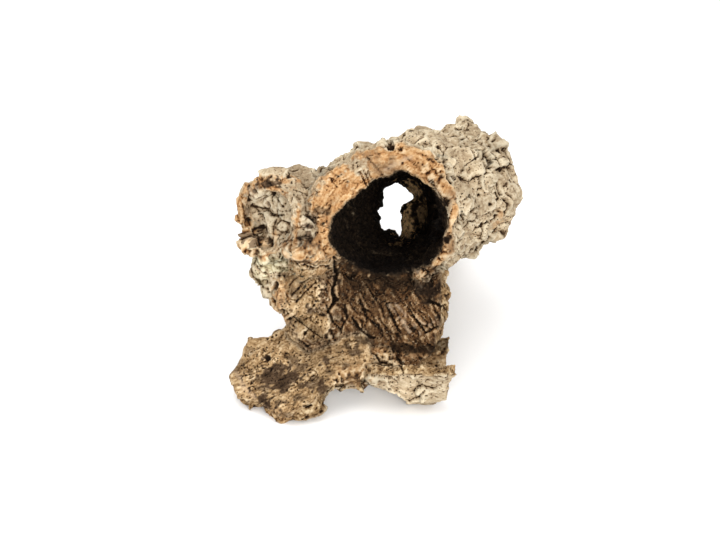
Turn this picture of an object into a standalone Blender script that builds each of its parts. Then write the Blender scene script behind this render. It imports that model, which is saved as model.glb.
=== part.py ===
"""Cork branch: a forked length of hollow cork bark that stands on two front legs and its rear end.

Blender 4.5. Lengths are in millimetres until they meet Blender, which takes metres. +X is right, +Y is
away from the wide front mouth and +Z is up. The origin is under the middle of the branch, on the floor.
"""

import math

import bmesh
import bpy
import numpy as np
from mathutils import Matrix, Vector

MM = 0.001
UP = np.array([0.0, 0.0, 1.0])

# Driving dimensions
APRON_WALL = 16.0  # thickness of the bark sheets
LEFT_LEG_WALL = 18.0
RIGHT_LEG_WALL = 13.0
FORK_GAP = 0.3  # clear gap between two pieces where the branch is split at a fork
VOXEL = 2.6  # grid on which the limbs are fused
TRIANGLES_KEPT = 7200  # in the whole branch, once it is reduced
CAP_ROWS = 4  # rows of faces from a limb's edge to the middle of its end
CURVE_STEPS = 24  # points read on each span of a smooth curve

# The bark's lumps, the ledges between them and the ragged edges of its sheets
LUMP_HEIGHT = 4.2
LUMP_SIZE = 34.0
LUMP_SEED = 3
LEDGE_HEIGHT = 2.6
LEDGE_SIZE = 26.0
LEDGE_STRETCH = np.array([1.0, 1.0, 0.8])
LEDGE_STEEPNESS = 2.5
LEDGE_SEED = 5
EDGE_SIZE = 22.0
EDGE_SEED = 8
SHEET_RELIEF = 0.5  # share of the bark's relief that shows on a sheet's hollow face
WAVE_COUNT = 12  # waves mixed to make lumps
WAVE_GAIN = 2.4  # brings their mean to about -1 to 1

# Tubular limbs, from the end that faces front: x, y, z of the axis, radius sideways, radius upwards
TRUNK = [
    (20, -50, 191, 79, 76),
    (20, -12, 179, 79, 76),
    (27, 30, 165, 77, 74),
    (34, 70, 152, 74, 70),
]
TRUNK_HOLLOW = [
    (27, -70, 196, 57, 55),
    (26, -12, 177, 57, 54),
    (31, 40, 161, 55, 53),
    (36, 80, 149, 50, 50),
]
REAR = [
    (30, 50, 158, 60, 60),
    (42, 120, 128, 58, 57),
    (50, 200, 89, 55, 55),
    (52, 285, 50, 57, 58),
]
REAR_HOLLOW = [
    (30, 30, 165, 48, 48),
    (42, 120, 129, 40, 43),
    (47, 200, 92, 33, 39),
    (47, 285, 56, 30, 38),
    (48, 330, 38, 30, 38),
]
RIGHT = [
    (28, 20, 168, 70, 70),
    (66, 75, 162, 68, 68),
    (103, 130, 149, 64, 62),
    (118, 152, 143, 60, 58),
]
RIGHT_HOLLOW = [
    (45, 50, 163, 48, 48),
    (72, 85, 159, 47, 46),
    (116, 148, 144, 44, 42),
    (140, 180, 137, 44, 42),
]
KNOT = [
    (-90, -14, 183, 41, 40),
    (-68, 18, 171, 45, 44),
    (-38, 50, 158, 44, 44),
]
KNOT_CUP = [
    (-104, -34, 191, 31, 33),
    (-93, -18, 185, 30, 32),
    (-83, -4, 180, 23, 24),
]
FLANK = [
    (-70, 14, 160, 34, 34),
    (-76, 4, 128, 27, 27),
    (-70, -8, 102, 23, 22),
    (-58, -15, 78, 14, 14),
]

# How far the mouth's edge stands back from the start of the trunk's axis: angle from the right, millimetres
MOUTH_EDGE = [
    (0, 40), (45, 42), (90, 36), (135, 32), (180, 24), (198, 18), (210, 24), (222, 44),
    (236, 68), (270, 78), (305, 72), (320, 54), (340, 42),
]
PLAIN_EDGE = [(0, 0)]
RIGHT_EDGE = [(0, 0), (60, 6), (120, 0), (200, 10), (300, 2)]
REAR_EDGE = [(0, 6), (70, 14), (140, 2), (220, 0), (300, 0)]

# Radius of the mouth against a round one, by angle from the right. It fades out behind the mouth.
MOUTH_SHAPE = [
    (0, 0.95), (28, 1.0), (45, 1.07), (65, 1.05), (80, 1.0), (98, 0.91), (126, 0.83),
    (160, 0.88), (182, 0.95), (215, 1.0), (270, 1.0), (330, 0.95),
]
BORE_SHAPE = [
    (5, 1.07), (32, 1.1), (62, 1.08), (78, 1.02), (102, 0.8), (155, 0.78), (192, 0.97),
    (235, 1.0), (275, 0.98), (312, 1.06), (335, 1.09),
]
ROUND = [(0, 1)]
UNTRIMMED = (PLAIN_EDGE, PLAIN_EDGE)
SHAPE_FADE = 55.0

# Swellings on a limb: distance along its axis, angle from the right, height, reach along, reach in degrees
TRUNK_SWELLINGS = [(55, 205, 24, 40, 32), (90, 150, 6, 40, 40)]
RIGHT_SWELLINGS = [(148, 100, 19, 15, 17), (95, 60, 5, 40, 40), (150, 330, 6, 25, 30)]

# Bark sheets, by their hollow face: x, y, z, the way that face looks, half widths, rises of the two edges
APRON = [
    (25, 42, 101, 0, -0.2, 1, 56, 66, 14, 14),
    (20, 5, 111, 0, -0.4, 0.9, 62, 76, 18, 20),
    (13, -18, 100, 0, -0.75, 0.65, 68, 92, 22, 24),
    (8, -31, 80, 0, -0.85, 0.5, 70, 90, 15, 16),
    (4, -38, 62, 0, -0.8, 0.6, 68, 78, 5, 6),
    (0, -52, 46, 0, -0.6, 0.8, 56, 56, 0, 0),
]
LEFT_LEG = [
    (8, -42, 62, -0.1, -0.7, 0.7, 35, 33, 0, 2),
    (-40, -48, 52, -0.3, -0.5, 0.8, 42, 38, 2, 4),
    (-88, -57, 31, -0.36, -0.47, 0.8, 52, 47, 3, 6),
    (-127, -62, 16.5, -0.36, -0.47, 0.8, 46, 44, 2, 6),
]
RIGHT_LEG = [
    (4, -46, 42, 0, -0.05, 1, 22, 24, 14, 20),
    (38, -48, 22, 0, -0.05, 1, 25, 26, 34, 42),
    (70, -48, 9, 0, -0.05, 1, 26, 28, 42, 52),
    (98, -47, 6.5, 0, -0.05, 1, 26, 28, 43, 53),
]
# How far a sheet's far end stands back: place across from -1 to 1, millimetres
NO_TRIM = [(0, 0)]
LEFT_LEG_END = [(-1, 46), (-0.7, 32), (-0.45, 22), (-0.2, 2), (0.4, 0), (1, 30)]
RIGHT_LEG_END = [(-1, 8), (-0.5, 14), (0, 26), (0.5, 18), (1, 8)]

# Where the branch is split. A piece is what lies past all of its cuts: a point of each, and the way past it.
FORKS = {
    "right_leg": [
        ((14, 0, 0), (1, 0, 0)),
        ((60, -45, 63), (0, -0.18, -1)),
        ((0, 20, 0), (0, -1, 0)),
    ],
    "left_leg": [((-28, -40, 56), (-0.57, -0.53, -0.63))],
    "knot_stub": [((-60, 30, 167), (-0.55, -0.62, 0.32)), ((-60, 10, 220), (-0.97, 0.12, 0.22))],
    "right_branch": [((78, 92, 157), (0.6, 0.79, -0.12)), ((88, 150, 135), (0.86, -0.17, 0.48))],
    "rear_branch": [((42, 125, 126), (0.1, 0.93, -0.35))],
}
FORK_REACH = 400.0  # further than any piece reaches past its fork
FLOOR_START = (0, 100, 0)

COLOURS = {
    "trunk": (0.36, 0.27, 0.18),
    "knot_stub": (0.42, 0.33, 0.23),
    "rear_branch": (0.40, 0.33, 0.25),
    "right_branch": (0.46, 0.40, 0.32),
    "left_leg": (0.34, 0.25, 0.16),
    "right_leg": (0.41, 0.34, 0.25),
}


def unit(vectors):
    return vectors / np.linalg.norm(vectors, axis=-1, keepdims=True)


def smooth_rows(rows, count):
    """The rows joined by a smooth curve and read at equal steps of its length, and that length."""
    rows = np.array(rows, float)
    padded = np.vstack([2 * rows[0] - rows[1], rows, 2 * rows[-1] - rows[-2]])
    t = np.linspace(0, 1, CURVE_STEPS, endpoint=False)[:, None]
    spans = []
    for a, b, c, d in zip(padded, padded[1:], padded[2:], padded[3:]):
        slope, bend, turn = (c - a) / 2, a - 2.5 * b + 2 * c - d / 2, 1.5 * (b - c) + (d - a) / 2
        spans.append(b + t * slope + t**2 * bend + t**3 * turn)
    fine = np.vstack(spans + [rows[-1:]])
    steps = np.linalg.norm(np.diff(fine[:, :3], axis=0), axis=1)
    length = np.concatenate([[0], np.cumsum(steps)])
    at = np.linspace(0, length[-1], count)
    return np.stack([np.interp(at, length, column) for column in fine.T], axis=1), length[-1]


def waves(points, size, seed):
    """Smooth lumps of about that size, from about -1 to 1: waves that run in many directions."""
    chance = np.random.RandomState(seed)
    ways = unit(chance.normal(size=(WAVE_COUNT, 3)))
    ways = ways * chance.uniform(0.7, 1.5, (WAVE_COUNT, 1)) * 2 * math.pi / size
    starts = chance.uniform(0, 2 * math.pi, WAVE_COUNT)
    return np.sin(points @ ways.T + starts).mean(axis=-1) * WAVE_GAIN


def relief(points):
    """Height of the bark's lumps and ledges at these points, in millimetres."""
    ledges = 1 - LEDGE_STEEPNESS * np.abs(waves(points * LEDGE_STRETCH, LEDGE_SIZE, LEDGE_SEED))
    return LUMP_HEIGHT * waves(points, LUMP_SIZE, LUMP_SEED) + LEDGE_HEIGHT * ledges


def read(table, places, period=None):
    """Values at these places of a table of place and value."""
    return np.interp(places, *np.array(table, float).T, period=period)


def swell(swellings, s, angles):
    """How far the swellings raise a limb's surface at these distances along it and angles."""
    total = np.zeros(len(angles))
    for where, angle, height, reach, turn in swellings:
        away = (angles - angle + 180) % 360 - 180
        total += height * np.exp(-(((s - where) / reach) ** 2) - (away / turn) ** 2)
    return total


def limb_points(table, trims, profile, swellings, along, around, rough):
    """Points of a closed limb: rows from the middle of its front end to the middle of its back end."""
    samples, length = smooth_rows(table, 4 * along)
    at = np.linspace(0, length, 4 * along)
    forward = unit(np.gradient(samples[:, :3], axis=0))
    side = unit(np.cross(forward, UP))
    frames = np.hstack([samples, side, np.cross(side, forward)])
    angles = np.arange(around) * 360 / around
    start, back, shape = (read(each, angles, 360) for each in (*trims, profile))
    rows = []
    for i in range(along + 1):
        share = min(max((i - CAP_ROWS) / (along - 2 * CAP_ROWS), 0), 1)
        s = start + share * (length - back - start)
        f = np.stack([np.interp(s, at, column) for column in frames.T], axis=1)
        grow = swell(swellings, s, angles)[:, None]
        form = (1 + (shape - 1) * np.exp(-(s - start) / SHAPE_FADE))[:, None]
        a = np.radians(angles)[:, None]
        aside, above = f[:, 5:8] * np.cos(a), f[:, 8:11] * np.sin(a)
        ring = f[:, :3] + aside * (f[:, 3:4] * form + grow) + above * (f[:, 4:5] * form + grow)
        ring = ring + (aside + above) * (rough * relief(ring))[:, None]
        inward = max(1 - i / CAP_ROWS, 1 - (along - i) / CAP_ROWS, 0)
        rows.append(ring + (ring.mean(axis=0) - ring) * inward)
    return np.array(rows)


def limb(name, table, trims=UNTRIMMED, profile=ROUND, swellings=(), steps=(44, 48), rough=1.0):
    """A closed tube-like body: a sphere whose rings are laid along the limb's axis."""
    along, around = steps
    points = limb_points(table, trims, profile, swellings, along, around, rough)
    shape = bmesh.new()
    bmesh.ops.create_uvsphere(shape, u_segments=around, v_segments=along, radius=1)
    for vert in shape.verts:
        row = round(math.acos(max(-1, min(1, vert.co.z))) / math.pi * along)
        column = round(math.atan2(vert.co.y, vert.co.x) / (2 * math.pi) * around) % around
        vert.co = Vector(points[row][column]) * MM
    return linked(name, shape)


def sheet(name, table, end_trim, wall, along=30, across=24):
    """A curved sheet of bark, given by its hollow face and thickened on the other side."""
    samples, length = smooth_rows(table, 4 * along)
    at = np.linspace(0, length, 4 * along)
    forward = unit(np.gradient(samples[:, :3], axis=0))
    facing = samples[:, 3:6]
    facing = unit(facing - forward * (facing * forward).sum(axis=1, keepdims=True))
    frames = np.hstack([samples, facing, np.cross(forward, facing)])
    place = np.linspace(-1, 1, across + 1)
    finish = length - read(end_trim, place)
    rows = []
    for share in np.linspace(0, 1, along + 1):
        f = np.stack([np.interp(share * finish, at, column) for column in frames.T], axis=1)
        facing, side = f[:, 10:13], f[:, 13:16]
        width = np.where(place < 0, f[:, 6], f[:, 7])
        rise = np.where(place < 0, f[:, 8], f[:, 9])
        row = f[:, :3] + side * (place * width)[:, None] + facing * (rise * place**2)[:, None]
        ragged = (0.5 + np.abs(place) ** 3) * waves(row, EDGE_SIZE, EDGE_SEED)
        rows.append(row + facing * (SHEET_RELIEF * relief(row))[:, None] + side * ragged[:, None])
    shape = bmesh.new()
    bmesh.ops.create_grid(shape, x_segments=along, y_segments=across, size=1)
    for vert in shape.verts:
        row = round((vert.co.x + 1) / 2 * along)
        column = round((vert.co.y + 1) / 2 * across)
        vert.co = Vector(rows[row][column]) * MM
    made = linked(name, shape)
    thicken = made.modifiers.new("wall", "SOLIDIFY")
    thicken.thickness = wall * MM
    thicken.offset = 1
    return made


def linked(name, shape):
    """A new object of the mesh that was just shaped."""
    mesh = bpy.data.meshes.new(name)
    shape.to_mesh(mesh)
    shape.free()
    made = bpy.data.objects.new(name, mesh)
    bpy.context.scene.collection.objects.link(made)
    return made


def settle(made):
    """Replaces the object's mesh by the one that its modifiers make."""
    bpy.context.view_layer.update()
    depsgraph = bpy.context.evaluated_depsgraph_get()
    mesh = bpy.data.meshes.new_from_object(made.evaluated_get(depsgraph))
    made.modifiers.clear()
    made.data = mesh
    return made


def fused(name, limbs):
    """One closed body in place of limbs that overlap."""
    shape = bmesh.new()
    for one in limbs:
        settle(one)
        shape.from_mesh(one.data)
        bpy.data.objects.remove(one)
    whole = linked(name, shape)
    remesh = whole.modifiers.new("fuse", "REMESH")
    remesh.mode = "VOXEL"
    remesh.voxel_size = VOXEL * MM
    return settle(whole)


def cut(body, cutter, keep="DIFFERENCE"):
    """Takes the cutter's shape out of the body, or keeps only what lies inside it."""
    boolean = body.modifiers.new("cut", "BOOLEAN")
    boolean.operation = keep
    boolean.object = cutter
    settle(body)
    bpy.data.objects.remove(cutter)


def block(name, start, way):
    """A wide box that begins at that point and runs that way."""
    shape = bmesh.new()
    bmesh.ops.create_cube(shape, size=FORK_REACH * MM)
    bmesh.ops.translate(shape, vec=(0, 0, FORK_REACH / 2 * MM), verts=shape.verts)
    turn = Vector(way).to_track_quat("Z", "Y").to_matrix().to_4x4()
    bmesh.ops.transform(shape, matrix=turn, verts=shape.verts)
    bmesh.ops.translate(shape, vec=Vector(start) * MM, verts=shape.verts)
    return linked(name, shape)


def past_fork(name, gap):
    """The space past all cuts of a fork, which begins that much before them."""
    blocks = [block(name, Vector(point) - Vector(way).normalized() * gap, way) for point, way in FORKS[name]]
    for other in blocks[1:]:
        cut(blocks[0], other, "INTERSECT")
    return blocks[0]


def split(body, name):
    """Splits the body at one of its forks: what lies past the fork becomes a piece of its own."""
    piece = bpy.data.objects.new(name, body.data.copy())
    bpy.context.scene.collection.objects.link(piece)
    cut(piece, past_fork(name, 0), "INTERSECT")
    cut(body, past_fork(name, FORK_GAP))
    return piece


def reduce(body):
    """Fewer, larger triangles, which keep the edges and the lumps."""
    body.modifiers.new("triangles", "TRIANGULATE")
    settle(body)
    fewer = body.modifiers.new("fewer", "DECIMATE")
    fewer.ratio = TRIANGLES_KEPT / len(body.data.polygons)
    settle(body)


def finish_of(name):
    """A dry, matt bark finish in the piece's own colour."""
    material = bpy.data.materials.new(name)
    material.use_nodes = True
    shader = material.node_tree.nodes["Principled BSDF"]
    shader.inputs["Base Color"].default_value = (*COLOURS[name], 1)
    shader.inputs["Roughness"].default_value = 0.9
    shader.inputs["Metallic"].default_value = 0.0
    return material


def main():
    for old in list(bpy.data.objects):
        bpy.data.objects.remove(old)
    trunk = fused(
        "trunk",
        [
            limb("tube", TRUNK, (MOUTH_EDGE, PLAIN_EDGE), MOUTH_SHAPE, TRUNK_SWELLINGS),
            limb("rear", REAR, (PLAIN_EDGE, REAR_EDGE)),
            limb("right", RIGHT, (PLAIN_EDGE, RIGHT_EDGE), swellings=RIGHT_SWELLINGS),
            limb("knot", KNOT),
            limb("flank", FLANK, steps=(24, 24)),
            sheet("apron", APRON, NO_TRIM, APRON_WALL),
            sheet("left", LEFT_LEG, LEFT_LEG_END, LEFT_LEG_WALL),
            sheet("right_low", RIGHT_LEG, RIGHT_LEG_END, RIGHT_LEG_WALL),
        ],
    )
    hollows = fused(
        "hollows",
        [
            limb("trunk_hollow", TRUNK_HOLLOW, profile=BORE_SHAPE, rough=0.6),
            limb("rear_hollow", REAR_HOLLOW, rough=0.7),
            limb("right_hollow", RIGHT_HOLLOW, rough=0.6),
            limb("cup", KNOT_CUP, rough=0.5),
        ],
    )
    cut(trunk, hollows)
    reduce(trunk)
    cut(trunk, block("floor", FLOOR_START, -UP))
    pieces = [split(trunk, name) for name in FORKS] + [trunk]
    corners = np.array([corner for piece in pieces for corner in piece.bound_box])
    middle = (corners.min(axis=0) + corners.max(axis=0)) / 2
    collection = bpy.data.collections.new("cork_branch")
    bpy.context.scene.collection.children.link(collection)
    for piece in pieces:
        piece.data.transform(Matrix.Translation((-middle[0], -middle[1], 0)))
        piece.data.materials.clear()
        piece.data.materials.append(finish_of(piece.name))
        bpy.context.scene.collection.objects.unlink(piece)
        collection.objects.link(piece)
    return middle


if __name__ == "__main__":
    main()
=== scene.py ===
"""Cork branch: the bark, cut rims, hollow and fibres of a forked length of virgin cork.

The limbs are laid out in millimetres, with +X to the right, +Y away from the wide front mouth and +Z up, and
moved to the middle of the branch at the end. Their faces are grown fine enough to carry each ridge and crack.
"""

import itertools
import math

import bmesh
import bpy
import numpy as np
from mathutils import Matrix, Vector
from mathutils.bvhtree import BVHTree
from mathutils.kdtree import KDTree


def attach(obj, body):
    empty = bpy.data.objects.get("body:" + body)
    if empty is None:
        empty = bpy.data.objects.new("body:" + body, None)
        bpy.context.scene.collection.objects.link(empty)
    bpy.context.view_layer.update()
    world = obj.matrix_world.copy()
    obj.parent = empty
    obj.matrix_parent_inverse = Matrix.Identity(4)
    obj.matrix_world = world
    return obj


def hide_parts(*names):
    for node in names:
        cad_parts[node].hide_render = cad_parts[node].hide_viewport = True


bl_info = {
    "name": "Cork Branch",
    "version": (1, 0, 0),
    "blender": (4, 5, 0),
    "location": "View3D > Sidebar > Cork Branch",
    "description": "A forked, hollow length of virgin cork bark on two bark legs",
    "category": "Object",
}

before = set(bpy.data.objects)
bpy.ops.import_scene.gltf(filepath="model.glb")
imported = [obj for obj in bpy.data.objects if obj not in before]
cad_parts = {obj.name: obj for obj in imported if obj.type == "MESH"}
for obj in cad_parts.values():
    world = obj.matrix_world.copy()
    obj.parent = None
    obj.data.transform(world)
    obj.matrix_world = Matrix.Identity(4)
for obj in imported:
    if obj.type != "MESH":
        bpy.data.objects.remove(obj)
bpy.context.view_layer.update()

MM = 0.001
UP = np.array([0.0, 0.0, 1.0])
MIDDLE = np.array([19.621, 101.189, 0.0])  # middle of the branch where its limbs are laid out
GROWN = {}  # the whole branch, kept while its pieces are cut from it

# Facets of the limbs before they are fused
LIMB_ROWS = 90
LIMB_SIDES = 110
CAP_ROWS = 4  # rows of faces from a limb's edge to the middle of its end
SHEET_ROWS = 70
SHEET_COLUMNS = 60
CURVE_STEPS = 24  # points read on each span of a smooth curve
AXIS_STEPS = 4  # places read on an axis for each row of facets

# The bark's lumps, the ledges between them and the ragged edges of its sheets, as in the solids
LUMP_HEIGHT = 4.2
LUMP_SIZE = 34.0
LUMP_SEED = 3
LEDGE_HEIGHT = 2.6
LEDGE_SIZE = 26.0
LEDGE_STRETCH = np.array([1.0, 1.0, 0.8])
LEDGE_STEEPNESS = 2.5
LEDGE_SEED = 5
EDGE_SIZE = 22.0
EDGE_SEED = 8
SHEET_RELIEF = 0.5  # share of the bark's relief that shows on a sheet's hollow face
WAVE_COUNT = 12  # waves mixed to make lumps
WAVE_GAIN = 2.4  # brings their mean to about -1 to 1

# How the finer relief is laid on
CUP_CALM = 0.45  # share of the bark's relief that the knot's cup does without
CRUMB_HEIGHT = 0.3
CRUMB_SIZE = 2.8
MARKED_HEIGHT = 2.8  # rise from a crack to a ridge that colours follow; the dark low down is partly painted shade and the pale on top partly painted highlight
LEAST_WEIGHT = 0.003
DRAWN_IN = 1.0  # a point that was drawn in by more than this takes its grain from where it lies
STRAND_SLANT = math.radians(48)
DUSK = (20, 75)  # how far along the front hollow its painted shade begins, and is full
SPOT_FADE = (0.62, 1.12)  # edge of a patch, in shares of its reach
LINE_FADE = (0.25, 1.1)
AXIS_SKIP = 6  # places of an axis that are passed over in the search for the nearest
BATCH = 40000  # points placed on an axis at a time
FAR_AWAY = 9.0  # further than the middle of any cell beside a point

# Tubular limbs, from the end that faces front: x, y, z of the axis, radius sideways, radius upwards
TRUNK = [(20, -50, 191, 79, 76), (20, -12, 179, 79, 76), (27, 30, 165, 77, 74), (34, 70, 152, 74, 70)]
TRUNK_HOLLOW = [
    (27, -70, 196, 57, 55), (26, -12, 177, 57, 54), (31, 40, 161, 55, 53), (36, 80, 149, 50, 50),
]
REAR = [(30, 50, 158, 60, 60), (42, 120, 128, 58, 57), (50, 200, 89, 55, 55), (52, 285, 50, 57, 58)]
REAR_HOLLOW = [
    (30, 30, 165, 48, 48),
    (42, 120, 129, 40, 43),
    (47, 200, 92, 33, 39),
    (47, 285, 56, 30, 38),
    (48, 330, 38, 30, 38),
]
RIGHT = [(28, 20, 168, 70, 70), (66, 75, 162, 68, 68), (103, 130, 149, 64, 62), (118, 152, 143, 60, 58)]
RIGHT_HOLLOW = [
    (45, 50, 163, 48, 48), (72, 85, 159, 47, 46), (116, 148, 144, 44, 42), (140, 180, 137, 44, 42),
]
KNOT = [(-90, -14, 183, 41, 40), (-68, 18, 171, 45, 44), (-38, 50, 158, 44, 44)]
KNOT_CUP = [(-104, -34, 191, 31, 33), (-93, -18, 185, 30, 32), (-83, -4, 180, 23, 24)]
FLANK = [(-70, 14, 160, 34, 34), (-76, 4, 128, 27, 27), (-70, -8, 102, 23, 22), (-58, -15, 78, 14, 14)]

# How far a limb's edge stands back: angle from the right, millimetres
MOUTH_EDGE = [
    (0, 40), (45, 42), (90, 36), (135, 32), (180, 24), (198, 18), (210, 24), (222, 44),
    (236, 68), (270, 78), (305, 72), (320, 54), (340, 42),
]
PLAIN_EDGE = [(0, 0)]
RIGHT_EDGE = [(0, 0), (60, 6), (120, 0), (200, 10), (300, 2)]
REAR_EDGE = [(0, 6), (70, 14), (140, 2), (220, 0), (300, 0)]

# Radius of the mouth against a round one, by angle from the right. It fades out behind the mouth.
MOUTH_SHAPE = [
    (0, 0.95), (28, 1.0), (45, 1.07), (65, 1.05), (80, 1.0), (98, 0.91), (126, 0.83),
    (160, 0.88), (182, 0.95), (215, 1.0), (270, 1.0), (330, 0.95),
]
BORE_SHAPE = [
    (5, 1.07), (32, 1.1), (62, 1.08), (78, 0.95), (100, 0.5), (122, 0.3), (142, 0.36), (162, 0.6),
    (192, 0.93), (235, 1.0), (275, 0.98), (312, 1.06), (335, 1.09),
]
ROUND = [(0, 1)]
UNTRIMMED = (PLAIN_EDGE, PLAIN_EDGE)
SHAPE_FADE = 55.0

# Swellings on a limb: distance along its axis, angle from the right, height, reach along, reach in degrees
TRUNK_SWELLINGS = [(55, 205, 24, 40, 32), (90, 150, 6, 40, 40)]
RIGHT_SWELLINGS = [(147, 96, 20, 9, 9), (150, 40, 9, 14, 14), (95, 60, 5, 40, 40), (150, 330, 6, 25, 30)]

# Bark sheets, by their hollow face: x, y, z, the way that face looks, half widths, rises of the two edges
APRON = [
    (25, 42, 101, 0, -0.2, 1, 56, 66, 14, 14),
    (20, 5, 111, 0, -0.4, 0.9, 62, 76, 18, 20),
    (13, -18, 100, 0, -0.75, 0.65, 68, 92, 22, 24),
    (8, -31, 80, 0, -0.85, 0.5, 70, 90, 15, 16),
    (4, -38, 62, 0, -0.8, 0.6, 68, 78, 5, 6),
    (0, -52, 46, 0, -0.6, 0.8, 56, 56, 0, 0),
]
LEFT_LEG = [
    (8, -42, 62, -0.1, -0.7, 0.7, 35, 33, 0, 2),
    (-40, -48, 52, -0.3, -0.5, 0.8, 42, 38, 2, 4),
    (-88, -57, 31, -0.36, -0.47, 0.8, 52, 47, 3, 6),
    (-127, -62, 16.5, -0.36, -0.47, 0.8, 46, 44, 2, 6),
]
RIGHT_LEG = [
    (4, -46, 42, 0, -0.05, 1, 22, 24, 14, 20),
    (38, -48, 22, 0, -0.05, 1, 25, 26, 34, 42),
    (70, -48, 9, 0, -0.05, 1, 26, 28, 42, 52),
    (98, -47, 6.5, 0, -0.05, 1, 26, 28, 43, 53),
]
APRON_WALL = 16.0
LEFT_LEG_WALL = 18.0
RIGHT_LEG_WALL = 13.0

# How far a sheet's far end stands back: place across from -1 to 1, millimetres
NO_TRIM = [(0, 0)]
LEFT_LEG_END = [(-1, 46), (-0.7, 32), (-0.45, 22), (-0.2, 2), (0.4, 0), (1, 30)]
RIGHT_LEG_END = [(-1, 8), (-0.5, 14), (0, 26), (0.5, 18), (1, 8)]

# Where the branch is split into its pieces: a point of each cut, and the way past it
FORKS = {
    "right_leg": [((14, 0, 0), (1, 0, 0)), ((60, -45, 63), (0, -0.18, -1)), ((0, 20, 0), (0, -1, 0))],
    "left_leg": [((-28, -40, 56), (-0.57, -0.53, -0.63))],
    "knot_stub": [((-60, 30, 167), (-0.55, -0.62, 0.32)), ((-60, 10, 220), (-0.97, 0.12, 0.22))],
    "right_branch": [((78, 92, 157), (0.6, 0.79, -0.12)), ((88, 150, 135), (0.86, -0.17, 0.48))],
    "rear_branch": [((42, 125, 126), (0.1, 0.93, -0.35))],
    "apron": [((0, -20, 120), (0, -0.35, -1))],
}
FORK_REACH = 400.0  # further than any piece reaches past its fork
FLOOR = ((0, 100, 0), (0, 0, -1))  # a point of the ground, and the way below it

# How far the trunk's cut rim runs out over the bark, by angle from the right
RIM_REACH = [
    (0, 2), (60, 3), (90, 8), (110, 12), (150, 18), (180, 27), (205, 26), (218, 14), (230, 0), (320, 0),
]

# What a stretch of surface is
BARK, RIM, BORE, FACE, EDGE = range(5)
ALL_BARK = (BARK, BARK, BARK)
ALL_BORE = (BORE, BORE, BORE)

# Limbs that the finish asks for, by their place in the list that all_limbs makes
TRUNK_WOOD, KNOT_WOOD, APRON_WOOD, LEFT_LEG_WOOD, RIGHT_LEG_WOOD = 0, 3, 5, 6, 7
TRUNK_BORE, REAR_BORE, CUP_BORE = 8, 9, 11

# The mouth's lower edge, which is worn to fibre: angles from the right, and how far behind the edge
WORN_TURN = (226, 322)
WORN_DEPTH = 14
SILL_BOX = ((-40, -8, 0), (84, 62, 132))  # corners of the space in which the sill below it is evened out

# Colours from the bottom of a crack to the top of a ridge: level, colour. The dark ends are partly painted
# shade in cracks and the pale ends partly painted highlight on ridges.
BARK_COLOURS = [
    (0.1, (0.02, 0.011, 0.006)), (0.24, (0.13, 0.083, 0.045)), (0.36, (0.38, 0.285, 0.18)),
    (0.54, (0.5, 0.4, 0.27)), (0.82, (0.69, 0.595, 0.44)),
]
WARM_COLOURS = [(0.25, (0.05, 0.026, 0.012)), (0.5, (0.3, 0.2, 0.11)), (0.8, (0.6, 0.46, 0.29))]
RIM_COLOURS = [
    (0.08, (0.035, 0.013, 0.005)), (0.24, (0.22, 0.1, 0.037)), (0.44, (0.45, 0.235, 0.095)),
    (0.62, (0.58, 0.35, 0.165)), (0.88, (0.76, 0.55, 0.33)),
]
BORE_COLOURS = [(0.2, (0.006, 0.004, 0.003)), (0.5, (0.06, 0.036, 0.018)), (0.85, (0.24, 0.15, 0.075))]
# Painted light on the inner wall by the rear hole
LIT_COLOURS = [(0.15, (0.12, 0.06, 0.024)), (0.6, (0.95, 0.6, 0.28))]
FIBRE_COLOURS = [
    (0.2, (0.006, 0.003, 0.001)), (0.36, (0.04, 0.018, 0.007)), (0.5, (0.11, 0.053, 0.022)),
    (0.68, (0.165, 0.088, 0.037)), (0.95, (0.5, 0.34, 0.19)),
]
LEG_COLOURS = [
    (0.15, (0.013, 0.006, 0.003)), (0.28, (0.095, 0.05, 0.021)), (0.43, (0.28, 0.17, 0.078)),
    (0.6, (0.46, 0.305, 0.155)), (0.84, (0.74, 0.57, 0.36)),
]
EDGE_COLOURS = [
    (0.14, (0.02, 0.01, 0.004)), (0.3, (0.12, 0.065, 0.028)), (0.5, (0.29, 0.18, 0.082)),
    (0.68, (0.43, 0.29, 0.15)), (0.9, (0.66, 0.51, 0.31)),
]
LICHEN_COLOURS = [(0.2, (0.12, 0.085, 0.04)), (0.5, (0.5, 0.42, 0.25)), (0.8, (0.74, 0.68, 0.47))]
STAIN_COLOURS = [(0.2, (0.008, 0.005, 0.003)), (0.55, (0.06, 0.034, 0.019)), (0.9, (0.22, 0.145, 0.085))]
BROWNED_RIM = (0.2, 0.13, 0.075)
# Painted glints on the fibres and the legs
GLINT = (0.72, 0.54, 0.34)
# Painted highlight along ridges and tips
RIDGE_HIGHLIGHT = (0.6, 0.44, 0.29)
# Brown of the cracks, and of the painted shade that runs out of the mouth
CRACK_AND_SHADE_BROWN = (0.012, 0.007, 0.004)
HOLLOW_SHADE_BROWN = (0.006, 0.004, 0.003)
SPECK_SCALE = 300.0
SPECK_RADIUS = 0.24
BUMP_HEIGHT = 0.0022


# Shapes of the limbs


def unit(vectors):
    """The same directions, one long."""
    return vectors / np.maximum(np.linalg.norm(vectors, axis=-1, keepdims=True), 1e-9)


def read(table, places, period=None):
    """Values at these places of a table of place and value."""
    return np.interp(places, *np.array(table, float).T, period=period)


def rows_at(rows, at, places):
    """Rows that are known at some distances, read at other ones."""
    return np.stack([np.interp(places, at, column) for column in rows.T], axis=1)


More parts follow.
